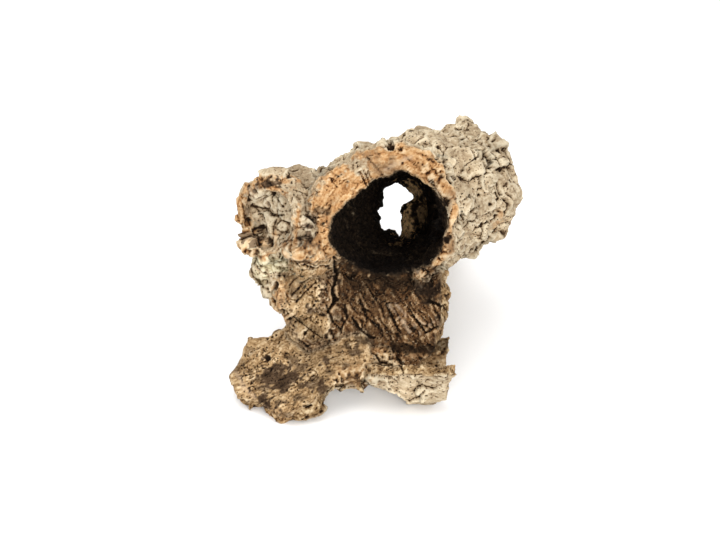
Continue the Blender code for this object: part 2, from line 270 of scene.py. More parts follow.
def smooth_rows(rows, count):
    """The rows joined by a smooth curve and read at equal steps of its length, and that length."""
    rows = np.array(rows, float)
    padded = np.vstack([2 * rows[0] - rows[1], rows, 2 * rows[-1] - rows[-2]])
    t = np.linspace(0, 1, CURVE_STEPS, endpoint=False)[:, None]
    spans = []
    for a, b, c, d in zip(padded, padded[1:], padded[2:], padded[3:]):
        slope, bend, turn = (c - a) / 2, a - 2.5 * b + 2 * c - d / 2, 1.5 * (b - c) + (d - a) / 2
        spans.append(b + t * slope + t**2 * bend + t**3 * turn)
    fine = np.vstack(spans + [rows[-1:]])
    steps = np.linalg.norm(np.diff(fine[:, :3], axis=0), axis=1)
    length = np.concatenate([[0], np.cumsum(steps)])
    return rows_at(fine, length, np.linspace(0, length[-1], count)), length[-1]


def waves(points, size, seed):
    """Smooth lumps of about that size, from about -1 to 1: waves that run in many directions."""
    chance = np.random.RandomState(seed)
    ways = unit(chance.normal(size=(WAVE_COUNT, 3)))
    ways = ways * chance.uniform(0.7, 1.5, (WAVE_COUNT, 1)) * 2 * math.pi / size
    starts = chance.uniform(0, 2 * math.pi, WAVE_COUNT)
    return np.sin(points @ ways.T + starts).mean(axis=-1) * WAVE_GAIN


def relief(points):
    """Height of the bark's lumps and ledges at these points, in millimetres."""
    ledges = 1 - LEDGE_STEEPNESS * np.abs(waves(points * LEDGE_STRETCH, LEDGE_SIZE, LEDGE_SEED))
    return LUMP_HEIGHT * waves(points, LUMP_SIZE, LUMP_SEED) + LEDGE_HEIGHT * ledges


def axis_frames(samples):
    """Forward, side and upward directions along a limb's axis."""
    forward = unit(np.gradient(samples[:, :3], axis=0))
    side = unit(np.cross(forward, UP))
    return forward, side, np.cross(side, forward)


def swell(swellings, s, angles):
    """How far the swellings raise a limb's surface at these distances along it and angles."""
    total = np.zeros(len(angles))
    for where, angle, height, reach, turn in swellings:
        away = (angles - angle + 180) % 360 - 180
        total += height * np.exp(-(((s - where) / reach) ** 2) - (away / turn) ** 2)
    return total


def limb_rows(table, trims, profile, swellings, rough):
    """Rings of points from the middle of a limb's front end to the middle of its rear end, and its axis."""
    samples, length = smooth_rows(table, AXIS_STEPS * LIMB_ROWS)
    at = np.linspace(0, length, AXIS_STEPS * LIMB_ROWS)
    forward, side, above = axis_frames(samples)
    frames = np.hstack([samples, side, above])
    angles = np.arange(LIMB_SIDES) * 360 / LIMB_SIDES
    start, back, shape = (read(each, angles, 360) for each in (*trims, profile))
    rows = []
    for i in range(LIMB_ROWS + 1):
        share = min(max((i - CAP_ROWS) / (LIMB_ROWS - 2 * CAP_ROWS), 0), 1)
        s = start + share * (length - back - start)
        f = rows_at(frames, at, s)
        grow = swell(swellings, s, angles)[:, None]
        form = (1 + (shape - 1) * np.exp(-(s - start) / SHAPE_FADE))[:, None]
        a = np.radians(angles)[:, None]
        aside, upward = f[:, 5:8] * np.cos(a), f[:, 8:11] * np.sin(a)
        ring = f[:, :3] + aside * (f[:, 3:4] * form + grow) + upward * (f[:, 4:5] * form + grow)
        ring = ring + (aside + upward) * (rough * relief(ring))[:, None]
        inward = max(1 - i / CAP_ROWS, 1 - (LIMB_ROWS - i) / CAP_ROWS, 0)
        rows.append(ring + (ring.mean(axis=0) - ring) * inward)
    return rows, {"at": at, "centre": samples[:, :3], "forward": forward, "side": side, "above": above}


def limb(table, trims=UNTRIMMED, profile=ROUND, swellings=(), kinds=ALL_BARK, rough=1.0):
    """A tube-like body, as points, faces, what each face is, and its axis. Kinds are front, side and rear."""
    rows, axis = limb_rows(table, trims, profile, swellings, rough)
    front, side, rear = kinds
    ring = np.arange(LIMB_SIDES)
    faces, labels = [], []
    for i in range(LIMB_ROWS):
        a = i * LIMB_SIDES + ring
        b = i * LIMB_SIDES + (ring + 1) % LIMB_SIDES
        faces.append(np.stack([a, b, b + LIMB_SIDES, a + LIMB_SIDES], axis=1))
        labels += [front if i < CAP_ROWS else rear if i >= LIMB_ROWS - CAP_ROWS else side] * LIMB_SIDES
    return np.vstack(rows), np.vstack(faces), np.array(labels), axis


def sheet_rows(table, end_trim):
    """Rows of points on the hollow face of a curved sheet, and its axis."""
    samples, length = smooth_rows(table, AXIS_STEPS * SHEET_ROWS)
    at = np.linspace(0, length, AXIS_STEPS * SHEET_ROWS)
    forward = unit(np.gradient(samples[:, :3], axis=0))
    facing = unit(samples[:, 3:6])
    facing = unit(facing - forward * (facing * forward).sum(axis=1, keepdims=True))
    side = np.cross(forward, facing)
    frames = np.hstack([samples, facing, side])
    place = np.linspace(-1, 1, SHEET_COLUMNS + 1)
    finish = length - read(end_trim, place)
    ragged = (0.5 + np.abs(place) ** 3)[:, None]
    rows = []
    for share in np.linspace(0, 1, SHEET_ROWS + 1):
        f = rows_at(frames, at, share * finish)
        width = np.where(place < 0, f[:, 6], f[:, 7])
        rise = np.where(place < 0, f[:, 8], f[:, 9])
        up, across = f[:, 10:13], f[:, 13:16]
        row = f[:, :3] + across * (place * width)[:, None] + up * (rise * place**2)[:, None]
        edge = across * ragged * waves(row, EDGE_SIZE, EDGE_SEED)[:, None]
        rows.append(row + up * (SHEET_RELIEF * relief(row))[:, None] + edge)
    axis = {"at": at, "centre": samples[:, :3], "forward": forward, "side": side, "above": facing}
    return np.array(rows), axis


def sheet(table, end_trim, wall):
    """A curved sheet of bark, as points, faces, what each face is, and its axis."""
    inner, axis = sheet_rows(table, end_trim)
    outer = inner - wall * unit(np.cross(np.gradient(inner, axis=1), np.gradient(inner, axis=0)))
    count = inner.shape[0] * inner.shape[1]
    index = np.arange(count).reshape(inner.shape[:2])
    corners = [index[:-1, :-1], index[:-1, 1:], index[1:, 1:], index[1:, :-1]]
    quads = np.stack(corners, axis=-1).reshape(-1, 4)
    ring = np.concatenate([index[0, :-1], index[:-1, -1], index[-1, :0:-1], index[:0:-1, 0]])
    rim = np.stack([ring, np.roll(ring, -1), np.roll(ring, -1) + count, ring + count], axis=1)
    faces = np.vstack([quads[:, ::-1], quads + count, rim])
    labels = np.array([FACE] * len(quads) + [BARK] * len(quads) + [EDGE] * len(rim))
    return np.vstack([inner.reshape(-1, 3), outer.reshape(-1, 3)]), faces, labels, axis


def all_limbs():
    """Every limb of the solid wood, and every limb of the hollow."""
    solid = [
        limb(TRUNK, (MOUTH_EDGE, PLAIN_EDGE), MOUTH_SHAPE, TRUNK_SWELLINGS, (RIM, BARK, BARK)),
        limb(REAR, (PLAIN_EDGE, REAR_EDGE), kinds=(BARK, BARK, RIM)),
        limb(RIGHT, (PLAIN_EDGE, RIGHT_EDGE), swellings=RIGHT_SWELLINGS, kinds=(BARK, BARK, RIM)),
        limb(KNOT, kinds=(RIM, BARK, BARK)),
        limb(FLANK),
        sheet(APRON, NO_TRIM, APRON_WALL),
        sheet(LEFT_LEG, LEFT_LEG_END, LEFT_LEG_WALL),
        sheet(RIGHT_LEG, RIGHT_LEG_END, RIGHT_LEG_WALL),
    ]
    hollow = [
        limb(TRUNK_HOLLOW, profile=BORE_SHAPE, kinds=ALL_BORE, rough=0.6),
        limb(REAR_HOLLOW, kinds=ALL_BORE, rough=0.7),
        limb(RIGHT_HOLLOW, kinds=ALL_BORE, rough=0.6),
        limb(KNOT_CUP, rough=0.5),
    ]
    return solid, hollow


# Meshes


def placed(name, data):
    """A new object in the scene."""
    made = bpy.data.objects.new(name, data)
    bpy.context.scene.collection.objects.link(made)
    return made


def shaped(name, shape):
    """A new object of the mesh that was just shaped."""
    mesh = bpy.data.meshes.new(name)
    shape.to_mesh(mesh)
    shape.free()
    return placed(name, mesh)


def mesh_object(name, points, faces):
    """A new object of these points, given in millimetres, and faces."""
    mesh = bpy.data.meshes.new(name)
    mesh.from_pydata((points * MM).tolist(), [], faces.tolist())
    return placed(name, mesh)


def settle(made):
    """Replaces the object's mesh by the one that its modifiers make."""
    bpy.context.view_layer.update()
    mesh = bpy.data.meshes.new_from_object(made.evaluated_get(bpy.context.evaluated_depsgraph_get()))
    made.modifiers.clear()
    made.data = mesh
    return made


def fuse(made, voxel):
    """Makes one closed skin of the object's overlapping bodies."""
    remesh = made.modifiers.new("fuse", "REMESH")
    remesh.mode = "VOXEL"
    remesh.voxel_size = voxel * MM
    return settle(made)


def cut(body, cutter, keep="DIFFERENCE"):
    """Takes the cutter's shape out of the body, or keeps only what lies inside it."""
    boolean = body.modifiers.new("cut", "BOOLEAN")
    boolean.operation = keep
    boolean.solver = "MANIFOLD"
    boolean.object = cutter
    settle(body)
    bpy.data.objects.remove(cutter)


def joined(name, limbs, voxel):
    """One closed body in place of limbs that overlap."""
    points, faces, first = [], [], 0
    for p, f, _, _ in limbs:
        points.append(p)
        faces.append(f + first)
        first += len(p)
    return fuse(mesh_object(name, np.vstack(points), np.vstack(faces)), voxel)


def block(start, way):
    """A wide box that begins at that point and runs that way."""
    shape = bmesh.new()
    bmesh.ops.create_cube(shape, size=FORK_REACH * MM)
    bmesh.ops.translate(shape, vec=(0, 0, FORK_REACH / 2 * MM), verts=shape.verts)
    turn = Vector(way).to_track_quat("Z", "Y").to_matrix().to_4x4()
    bmesh.ops.transform(shape, matrix=turn, verts=shape.verts)
    bmesh.ops.translate(shape, vec=Vector(start) * MM, verts=shape.verts)
    return shaped("block", shape)


def vectors_of(items, key):
    """That vector of every point or edge of a mesh."""
    flat = np.empty(len(items) * 3)
    items.foreach_get(key, flat)
    return flat.reshape(-1, 3)


def points_of(mesh):
    """The mesh's points, in millimetres."""
    return vectors_of(mesh.vertices, "co") / MM


def normals_of(mesh):
    """Which way the surface faces at each of the mesh's points."""
    return vectors_of(mesh.vertices, "normal")


def edges_of(mesh):
    """The two points of each of the mesh's edges."""
    flat = np.empty(len(mesh.edges) * 2, np.int32)
    mesh.edges.foreach_get("vertices", flat)
    return flat.reshape(-1, 2)


def blurred(values, edges, times):
    """Values at the mesh's points, evened out along its edges."""
    values = np.array(values, float)
    shaped = values.reshape(len(values), -1)
    near = np.bincount(edges.ravel(), minlength=len(values))[:, None]
    for _ in range(times):
        total = np.empty_like(shaped)
        for k in range(shaped.shape[1]):
            total[:, k] = np.bincount(edges[:, 0], shaped[edges[:, 1], k], len(values))
            total[:, k] += np.bincount(edges[:, 1], shaped[edges[:, 0], k], len(values))
        shaped = 0.4 * shaped + 0.6 * total / np.maximum(near, 1)
    return shaped.reshape(values.shape)


# Chance patterns in space


def lattice(cell, seed):
    """A chance number from 0 to 255 for each cell of space."""
    table = np.random.RandomState(seed).permutation(256)
    cell = cell & 255
    return table[(table[(table[cell[:, 0]] + cell[:, 1]) & 255] + cell[:, 2]) & 255]


def grain_noise(points, seed):
    """Smooth chance values from about -1 to 1, one lump to a unit cell."""
    base = np.floor(points).astype(np.int64)
    f = points - base
    fade = f**3 * (f * (f * 6 - 15) + 10)
    slopes = unit(np.random.RandomState(seed + 77).normal(size=(256, 3)))
    total = np.zeros(len(points))
    for corner in itertools.product((0, 1), repeat=3):
        c = np.array(corner)
        slope = slopes[lattice(base + c, seed)]
        weight = np.prod(np.where(c, fade, 1 - fade), axis=1)
        total += weight * ((f - c) * slope).sum(axis=1)
    return total * 1.6


def layered(points, seed, octaves=3, keep=0.5):
    """Chance values with finer ones on top."""
    total, size, most = np.zeros(len(points)), 1.0, 0.0
    for k in range(octaves):
        total += size * grain_noise(points * 2.03**k, seed + k)
        most += size
        size *= keep
    return total / most


def puffs(points, seed, octaves=3, keep=0.5):
    """Rounded lumps with sharp creases between them, from 0 in a crease to 1."""
    total, size, most = np.zeros(len(points)), 1.0, 0.0
    for k in range(octaves):
        total += size * np.sqrt(np.abs(grain_noise(points * 2.1**k, seed + k)) + 1e-4)
        most += size
        size *= keep
    return total / most


def plates(points, seed):
    """Chance cells: how far to the nearest middle and on to the next, the cell's own value, and its tilt."""
    base = np.floor(points).astype(np.int64)
    f = points - base
    places = np.random.RandomState(seed + 55).uniform(0, 1, (256, 3))
    slopes = unit(np.random.RandomState(seed + 66).normal(size=(256, 3)))
    first, second = np.full(len(points), FAR_AWAY), np.full(len(points), FAR_AWAY)
    name, tilt = np.zeros(len(points), int), np.zeros(len(points))
    for corner in itertools.product((-1, 0, 1), repeat=3):
        c = np.array(corner)
        index = lattice(base + c, seed)
        offset = places[index] + c - f
        away = np.sqrt((offset**2).sum(axis=1))
        nearer = away < first
        second = np.where(nearer, first, np.minimum(second, away))
        name = np.where(nearer, index, name)
        tilt = np.where(nearer, (offset * slopes[index]).sum(axis=1), tilt)
        first = np.where(nearer, away, first)
    return first, second - first, np.random.RandomState(seed + 9).uniform(-1, 1, 256)[name], tilt


def ramp(values, low, high):
    """A smooth rise from 0 at the low value to 1 at the high one."""
    t = np.clip((values - low) / (high - low), 0, 1)
    return t * t * (3 - 2 * t)


# The whole branch


def local_place(points, axis):
    """Places beside, above and along a limb's axis."""
    centre, forward = axis["centre"][::AXIS_SKIP], axis["forward"][::AXIS_SKIP]
    nearest = np.empty(len(points), int)
    for k in range(0, len(points), BATCH):
        part = points[k : k + BATCH]
        nearest[k : k + BATCH] = ((part[:, None] - centre) ** 2).sum(axis=2).argmin(axis=1)
    slide = ((points - centre[nearest]) * forward[nearest]).sum(axis=1)
    s = axis["at"][::AXIS_SKIP][nearest] + slide
    centre, side, above = (rows_at(axis[key], axis["at"], s) for key in ("centre", "side", "above"))
    away = points - centre
    return np.stack([(away * side).sum(axis=1), (away * above).sum(axis=1), s], axis=1)


def surface_of(points, limbs):
    """What the surface is at each point, which limb it belongs to and where it lies on that limb."""
    verts, faces, labels, owners, first = [], [], [], [], 0
    for k, (p, f, kind, _) in enumerate(limbs):
        verts += p.tolist()
        faces += (f + first).tolist()
        labels.append(kind)
        owners.append(np.full(len(f), k))
        first += len(p)
    labels, owners = np.concatenate(labels), np.concatenate(owners)
    tree = BVHTree.FromPolygons(verts, faces)
    found = np.array([tree.find_nearest(p)[2] for p in points.tolist()])
    kind, owner = labels[found], owners[found]
    place = np.zeros_like(points)
    for k, (_, _, _, axis) in enumerate(limbs):
        mine = owner == k
        if mine.any():
            place[mine] = local_place(points[mine], axis)
    return kind, owner, place


# What is placed by its pixel in the photograph

CAMERA = np.array([0.0, -1236.1, 777.3])
TILT = math.radians(28)
RIGHTWARD = np.array([1.0, 0.0, 0.0])
UPWARD = np.array([0.0, math.sin(TILT), math.cos(TILT)])
INWARD = np.array([0.0, math.cos(TILT), -math.sin(TILT)])
PHOTO_MIDDLE = (360, 270)
SENSOR_WIDTH = 36
LENS = 70
PIXELS_PER_UNIT = 2 * PHOTO_MIDDLE[0] * LENS / SENSOR_WIDTH


def seen_at(points):
    """Pixels of the photograph at which these points are seen."""
    away = points - CAMERA
    depth = away @ INWARD
    right = PIXELS_PER_UNIT * (away @ RIGHTWARD) / depth
    up = PIXELS_PER_UNIT * (away @ UPWARD) / depth
    return np.stack([PHOTO_MIDDLE[0] + right, PHOTO_MIDDLE[1] - up], axis=1)


def on_branch(tree, pixels):
    """Where the branch is first met behind these pixels."""
    found = []
    for x, y in pixels:
        right, up = x - PHOTO_MIDDLE[0], PHOTO_MIDDLE[1] - y
        way = unit(RIGHTWARD * right + UPWARD * up + INWARD * PIXELS_PER_UNIT)
        hit = tree.ray_cast(Vector(CAMERA), Vector(way))[0]
        if hit is not None:
            found.append(hit)
    return np.array(found).reshape(-1, 3)


def spot(points, tree, ragged, x, y, reach, tall=None):
    """A ragged patch around a pixel, 1 inside and 0 outside, that far across and that tall in millimetres."""
    centre = on_branch(tree, [(x, y)])
    weight = np.zeros(len(points))
    if len(centre):
        tall = tall or reach
        near = np.abs(points - centre[0]).max(axis=1) < 2.2 * max(reach, tall)
        away = points[near] - centre[0]
        across, up = away @ RIGHTWARD / reach, away @ UPWARD / tall
        deep = away @ INWARD / (1.6 * max(reach, tall))
        far = np.sqrt(across**2 + up**2 + deep**2) * (1 + 0.45 * ragged[near])
        weight[near] = 1 - ramp(far, *SPOT_FADE)
    return weight


def line(points, tree, ragged, pixels, reach):
    """A ragged line through pixels, 1 along its middle and 0 past that reach in millimetres."""
    pixels = np.array(pixels, float)
    steps = np.concatenate([[0], np.cumsum(np.linalg.norm(np.diff(pixels, axis=0), axis=1))])
    at = np.linspace(0, steps[-1], max(int(steps[-1]), 2))
    path = on_branch(tree, rows_at(pixels, steps, at))
    weight = np.zeros(len(points))
    if len(path):
        lowest, highest = path.min(axis=0) - 2 * reach, path.max(axis=0) + 2 * reach
        near = ((points > lowest) & (points < highest)).all(axis=1)
        away = np.full(near.sum(), 1e9)
        for place in path:
            away = np.minimum(away, ((points[near] - place) ** 2).sum(axis=1))
        weight[near] = 1 - ramp(np.sqrt(away) / reach * (1 + 0.5 * ragged[near]), *LINE_FADE)
    return weight


# Outline of the light that comes through from the rear end, in pixels
HOLE = [
    (383, 189), (391, 185), (398, 182), (404, 187), (409, 191), (414, 195), (413, 200), (407, 203),
    (402, 206), (400, 211), (401, 221), (401, 234), (399, 238), (395, 231), (389, 229), (384, 231),
    (379, 222), (381, 218), (377, 211), (383, 206), (383, 198),
]
HOLE_MIDDLE = np.array([391.0, 210.0])
HOLE_AT = 262.0  # along the rear limb's axis
HOLE_REACH = 26.0


def narrowed(points, owner, kind, place):
    """The rear hollow drawn in near its end, to the ragged outline that light shows through."""
    past = np.abs(place[:, 2] - HOLE_AT)
    mine = (owner == REAR_BORE) & (kind == BORE) & (past < 2.2 * HOLE_REACH)
    corners = np.array(HOLE) - HOLE_MIDDLE
    turn = np.arctan2(corners[:, 1], corners[:, 0])
    order = np.argsort(turn)
    away = seen_at(points[mine]) - HOLE_MIDDLE
    far = np.linalg.norm(away, axis=1)
    angle = np.arctan2(away[:, 1], away[:, 0])
    edge = np.interp(angle, turn[order], np.linalg.norm(corners, axis=1)[order], period=2 * math.pi)
    lip = np.exp(-(((place[mine, 2] - HOLE_AT) / HOLE_REACH) ** 4))
    change = (edge / np.maximum(far, 1) - 1) * lip
    depth = (points[mine] - CAMERA) @ INWARD / PIXELS_PER_UNIT
    moved = points.copy()
    shift = away * change[:, None] * depth[:, None]
    moved[mine] += shift[:, :1] * RIGHTWARD - shift[:, 1:] * UPWARD
    return moved


# Relief of each kind of surface. A term is a height in millimetres times a pattern, and the numbers
# that divide the points are the pattern's size in millimetres. The seeds keep the patterns apart.


def shaken(points, size, seed, reach):
    """The points moved about by up to that reach, in waves of that size."""
    return points + reach * np.stack([grain_noise(points / size, seed + k) for k in range(3)], axis=1)


def steps_of(values, count, steep):
    """Flat steps in place of a slope, with that share of each step taken by its riser."""
    scaled = values * count
    base = np.floor(scaled)
    return (base + ramp(scaled - base, 1 - steep, 1)) / count


def slits(points, seed, width, places, size, low, high):
    """Thin cracks, 1 along their middle, where a coarse noise allows them."""
    thin = 1 - ramp(np.abs(grain_noise(points, seed)), 0.0, width)
    return thin * ramp(grain_noise(places / size, seed + 1), low, high)


def pinholes(points, seed, size, share):
    """Small round holes, 1 in their middle, in that share of the cells of that size."""
    near, _, chance, _ = plates(points / size, seed)
    return (1 - ramp(near, 0.13, 0.3)) * (chance > 1 - 2 * share)


def bark_relief(p, q):
    """Grey outer bark: tilted flat plates that end in ledges, fibres, long fissures and crowded pits."""
    drawn = shaken(shaken(q, 17.0, 17, 5.0), 6.0, 18, 0.7)
    lumps = 3.8 * grain_noise(shaken(p, 16.0, 11, 4.0) / 30.0, 14)
    _, gap, chance, tilt = plates(drawn / [25.0, 25.0, 38.0], 27)
    seams = (1 - ramp(gap, 0.0, 0.05)) * ramp(grain_noise(p / 24.0, 25), -0.1, 0.25)
    broad = 1.6 * chance + 6.0 * tilt - 2.6 * seams
    _, _, chance, tilt = plates(drawn / [10.0, 10.0, 17.0], 28)
    small = (0.4 * chance + 0.9 * tilt) * ramp(grain_noise(p / 23.0, 29), -0.1, 0.3)
    ledges = 2.0 * steps_of(grain_noise(drawn / [17.0, 17.0, 34.0], 21), 2.2, 0.08)
    fibres = 0.8 * layered(drawn / [3.2, 3.2, 17.0], 24, 2)
    fissures = 4.0 * slits(drawn / [24.0, 24.0, 52.0], 31, 0.04, p, 26.0, 0.0, 0.3)
    pits = 1.8 * pinholes(p, 43, 3.9, 0.45) * ramp(grain_noise(p / 15.0, 44), 0.12, 0.4)
    return lumps + broad + small + ledges + fibres - fissures - pits - 2.6 * pinholes(p, 41, 8.5, 0.12)


def rim_relief(p, q):
    """Cut rim: a fairly even band with growth layers that follow the edge, and cracks across it."""
    radius = np.hypot(q[:, 0], q[:, 1])
    turn = np.arctan2(q[:, 1], q[:, 0]) * 60
    warped = shaken(np.stack([radius, turn, q[:, 2]], axis=1), 12.0, 50, 2.0)
    lumps = 1.7 * grain_noise(shaken(p, 9.0, 58, 2.0) / 17.0, 61)
    layers = 1.1 * layered(warped / [2.2, 20.0, 2.2], 51, 2)
    layers += 1.6 * steps_of(grain_noise(warped / [8.0, 15.0, 8.0], 53), 2.2, 0.25)
    cracks = 2.0 * slits(warped / [24.0, 5.0, 24.0], 55, 0.09, p, 13.0, 0.05, 0.3)
    cracks += 1.4 * slits(warped / [6.0, 26.0, 6.0], 57, 0.08, p, 15.0, -0.05, 0.3)
    return lumps + layers - cracks - 2.0 * pinholes(p, 63, 7.0, 0.12)


def bore_relief(p, q):
    """Inside of the branch: rough and dark, drawn out along it."""
    drawn = shaken(q, 10.0, 61, 3.0) / [8.0, 8.0, 17.0]
    return 4.6 * (puffs(drawn, 64) - 0.5) + 1.8 * (puffs(p / 3.6, 67, 2) - 0.5)


def strand_relief(p, q):
    """Apron: coarse fibres that run down and to the right, with dark cracks between them."""
    across = q[:, 0] * math.cos(STRAND_SLANT) + q[:, 2] * math.sin(STRAND_SLANT)
    along = q[:, 2] * math.cos(STRAND_SLANT) - q[:, 0] * math.sin(STRAND_SLANT)
    warped = shaken(np.stack([across, q[:, 1], along], axis=1), 16.0, 71, 4.0)
    strands = 1.5 * (puffs(warped / [5.0, 7.0, 46.0], 74, 1) - 0.5)
    strands += 1.2 * layered(warped / [2.4, 3.0, 20.0], 75, 2)
    cracks = 2.6 * slits(warped / [9.0, 9.0, 44.0], 77, 0.08, p, 17.0, -0.1, 0.3)
    cracks += 1.2 * slits(warped / [26.0, 12.0, 12.0], 79, 0.06, p, 15.0, 0.15, 0.4)
    ledges = 2.4 * steps_of(grain_noise(warped / [12.0, 12.0, 34.0], 83), 2.2, 0.15)
    return 3.0 * grain_noise(p / 19.0, 81) + strands + ledges - cracks + 0.5 * layered(p / 2.2, 84, 2)


def leg_relief(p, q):
    """Inner face of the legs: granular, with small pits, shallow hollows and thin flakes."""
    drawn = shaken(q, 9.0, 96, 2.5)
    flakes = 1.3 * steps_of(grain_noise(drawn / [8.0, 8.0, 12.0], 99), 2.2, 0.2)
    flakes = flakes * ramp(grain_noise(p / 19.0, 94), -0.35, 0.25)
    cracks = 1.6 * slits(drawn / [8.0, 8.0, 15.0], 97, 0.09, p, 15.0, 0.05, 0.35)
    holes = 2.3 * pinholes(shaken(p, 6.0, 93, 1.2), 91, 5.2, 0.3) + 1.2 * pinholes(p, 92, 3.6, 0.2)
    grains = 1.1 * (puffs(p / 3.2, 95, 2) - 0.5)
    return 2.8 * grain_noise(p / 17.0, 98) + flakes - cracks - holes + grains


def edge_relief(p, q):
    """Cut edges of the bark sheets: ribs across their thickness."""
    ribs = 1.6 * (puffs(shaken(p, 8.0, 101, 2.0) / [3.4, 3.4, 9.0], 104, 2) - 0.5)
    flakes = 1.5 * steps_of(grain_noise(p / 7.0, 107), 2.0, 0.2)
    cracks = 1.8 * slits(p / [6.0, 6.0, 14.0], 108, 0.1, p, 13.0, 0.0, 0.3)
    return ribs + flakes - cracks + 2.0 * grain_noise(p / 12.0, 106) - 1.8 * pinholes(p, 105, 5.5, 0.3)


# Relief that each kind of surface takes, by the name of its mark
RELIEFS = {
    "bark": bark_relief,
    "rim": rim_relief,
    "bore": bore_relief,
    "face": strand_relief,
    "leg": leg_relief,
    "edge": edge_relief,
}


def edge_kinds(kind, owner, points, q):
    """Runs the cut rim out over the bark, turns the mouth's lower edge to fibre, and finds its sill."""
    turn = np.degrees(np.arctan2(q[:, 1], q[:, 0])) % 360
    behind = q[:, 2] - read(MOUTH_EDGE, turn, 360)
    reach = read(RIM_REACH, turn, 360) + 5 * grain_noise(points / 9.0, 131)
    kind = np.where((owner == TRUNK_WOOD) & (kind == BARK) & (behind < reach), RIM, kind)
    low = (turn > WORN_TURN[0]) & (turn < WORN_TURN[1]) & (behind < WORN_DEPTH)
    kind = np.where((owner == TRUNK_WOOD) & low & (kind == RIM), FACE, kind)
    near = ((points > SILL_BOX[0]) & (points < SILL_BOX[1])).all(axis=1)
    sill = near & np.isin(owner, (TRUNK_WOOD, APRON_WOOD, TRUNK_BORE)) & (kind != BARK)
    return kind, sill.astype(float)


def surface_weights(kind, owner, edges, points, tree, ragged):
    """How much of each kind of surface shows at each point."""
    kinds = blurred(np.stack([kind == k for k in range(5)], axis=1), edges, 4)
    kinds /= kinds.sum(axis=1, keepdims=True)
    on_leg = blurred((owner == LEFT_LEG_WOOD) | (owner == RIGHT_LEG_WOOD), edges, 10)
    lobe = np.zeros(len(points))
    for x, y, reach, tall in SMOOTH_LOBE:
        lobe = np.maximum(lobe, spot(points, tree, ragged, x, y, reach, tall))
    on_leg = np.maximum(on_leg, lobe)
    kinds = kinds * (1 - lobe)[:, None]
    kinds[:, FACE] += lobe
    bark, rim, bore, face, edge = kinds.T
    strands, leg = face * (1 - on_leg), face * on_leg
    return {"bark": bark, "rim": rim, "bore": bore, "face": strands, "leg": leg, "edge": edge}


def surface_height(points, q, weights):
    """Height of the relief at each point, mixed from the kinds of surface that show there."""
    height = np.zeros(len(points))
    for name, relief_of in RELIEFS.items():
        weight = weights[name]
        shows = weight > LEAST_WEIGHT
        height[shows] += weight[shows] * relief_of(points[shows], q[shows])
    return height


def grown_branch(voxel):
    """The whole branch as one mesh, with what its finish needs to know at each of its points."""
    solid, hollow = all_limbs()
    body = joined("branch", solid, voxel)
    cut(body, joined("hollow", hollow, voxel))
    fuse(body, voxel)
    fused, edges = points_of(body.data), edges_of(body.data)
    kind, owner, q = surface_of(fused, solid + hollow)
    points = narrowed(fused, owner, kind, q)
    drawn_in = np.linalg.norm(points - fused, axis=1, keepdims=True) > DRAWN_IN
    kind, sill = edge_kinds(kind, owner, points, q)
    points = points + (blurred(points, edges, 14) - points) * blurred(sill, edges, 6)[:, None]
    q = np.where(drawn_in, points, blurred(q, edges, 2))

    tree = BVHTree.FromPolygons(points.tolist(), [list(f.vertices) for f in body.data.polygons])
    ragged = layered(points / 5.0, 111, 2) * 2
    move(body, points)
    normals = unit(blurred(normals_of(body.data), edges, 3))
    weights = surface_weights(kind, owner, edges, points, tree, ragged)
    bark = weights.pop("bark")
    in_cup = blurred((owner == KNOT_WOOD) | (owner == CUP_BORE), edges, 8)
    height = surface_height(points, q, {"bark": bark * (1 - CUP_CALM * in_cup), **weights})
    height += placed_relief(points, tree, ragged)
    points = points + normals * height[:, None]
    points = shaken(points, CRUMB_SIZE, 121, CRUMB_HEIGHT)
    low = height - blurred(height, edges, 12)
    # Local height, which the colours follow: its lows carry partly painted shade and its highs partly painted
    # highlight
    marks = {"height": np.clip(0.5 + low / MARKED_HEIGHT, 0, 1), **weights}
    marks.update(placed_marks(points, tree, ragged))
    # Painted shade deeper in the hollow, kept off the walls that carry painted light
    marks["deep"] = depth_inside(owner, weights["bore"], q) * (1 - marks["lit"])
    move(body, points)
    tree = KDTree(len(points))
    for i, point in enumerate(points.tolist()):
        tree.insert(point, i)
    tree.balance()
    GROWN.update(tree=tree, normals=normals_of(body.data), marks=marks, grain=q)
    cut(body, block(*FLOOR))
    return body


def move(body, points):
    """Puts the body's points at these places, given in millimetres."""
    body.data.vertices.foreach_set("co", (points * MM).ravel())
    body.data.update()


# Marks that the photograph shows, by pixel

# Holes and hollows: x, y, reach, depth
PITS = [
    (392, 147, 4, 6), (400, 149, 3, 4), (447, 201, 4.5, 3), (447, 239, 4, 3), (277, 285, 3, 4),
    (308, 408, 3.5, 5), (275, 302, 3.5, 5), (283, 312, 3, 4), (462, 150, 4, 5), (478, 156, 4, 5),
    (488, 160, 3, 4), (470, 196, 2.5, 2), (284, 239, 3, 3), (496, 218, 3, 3), (335, 300, 3, 4),
    (305, 333, 2.5, 4), (268, 358, 3, 2),
]
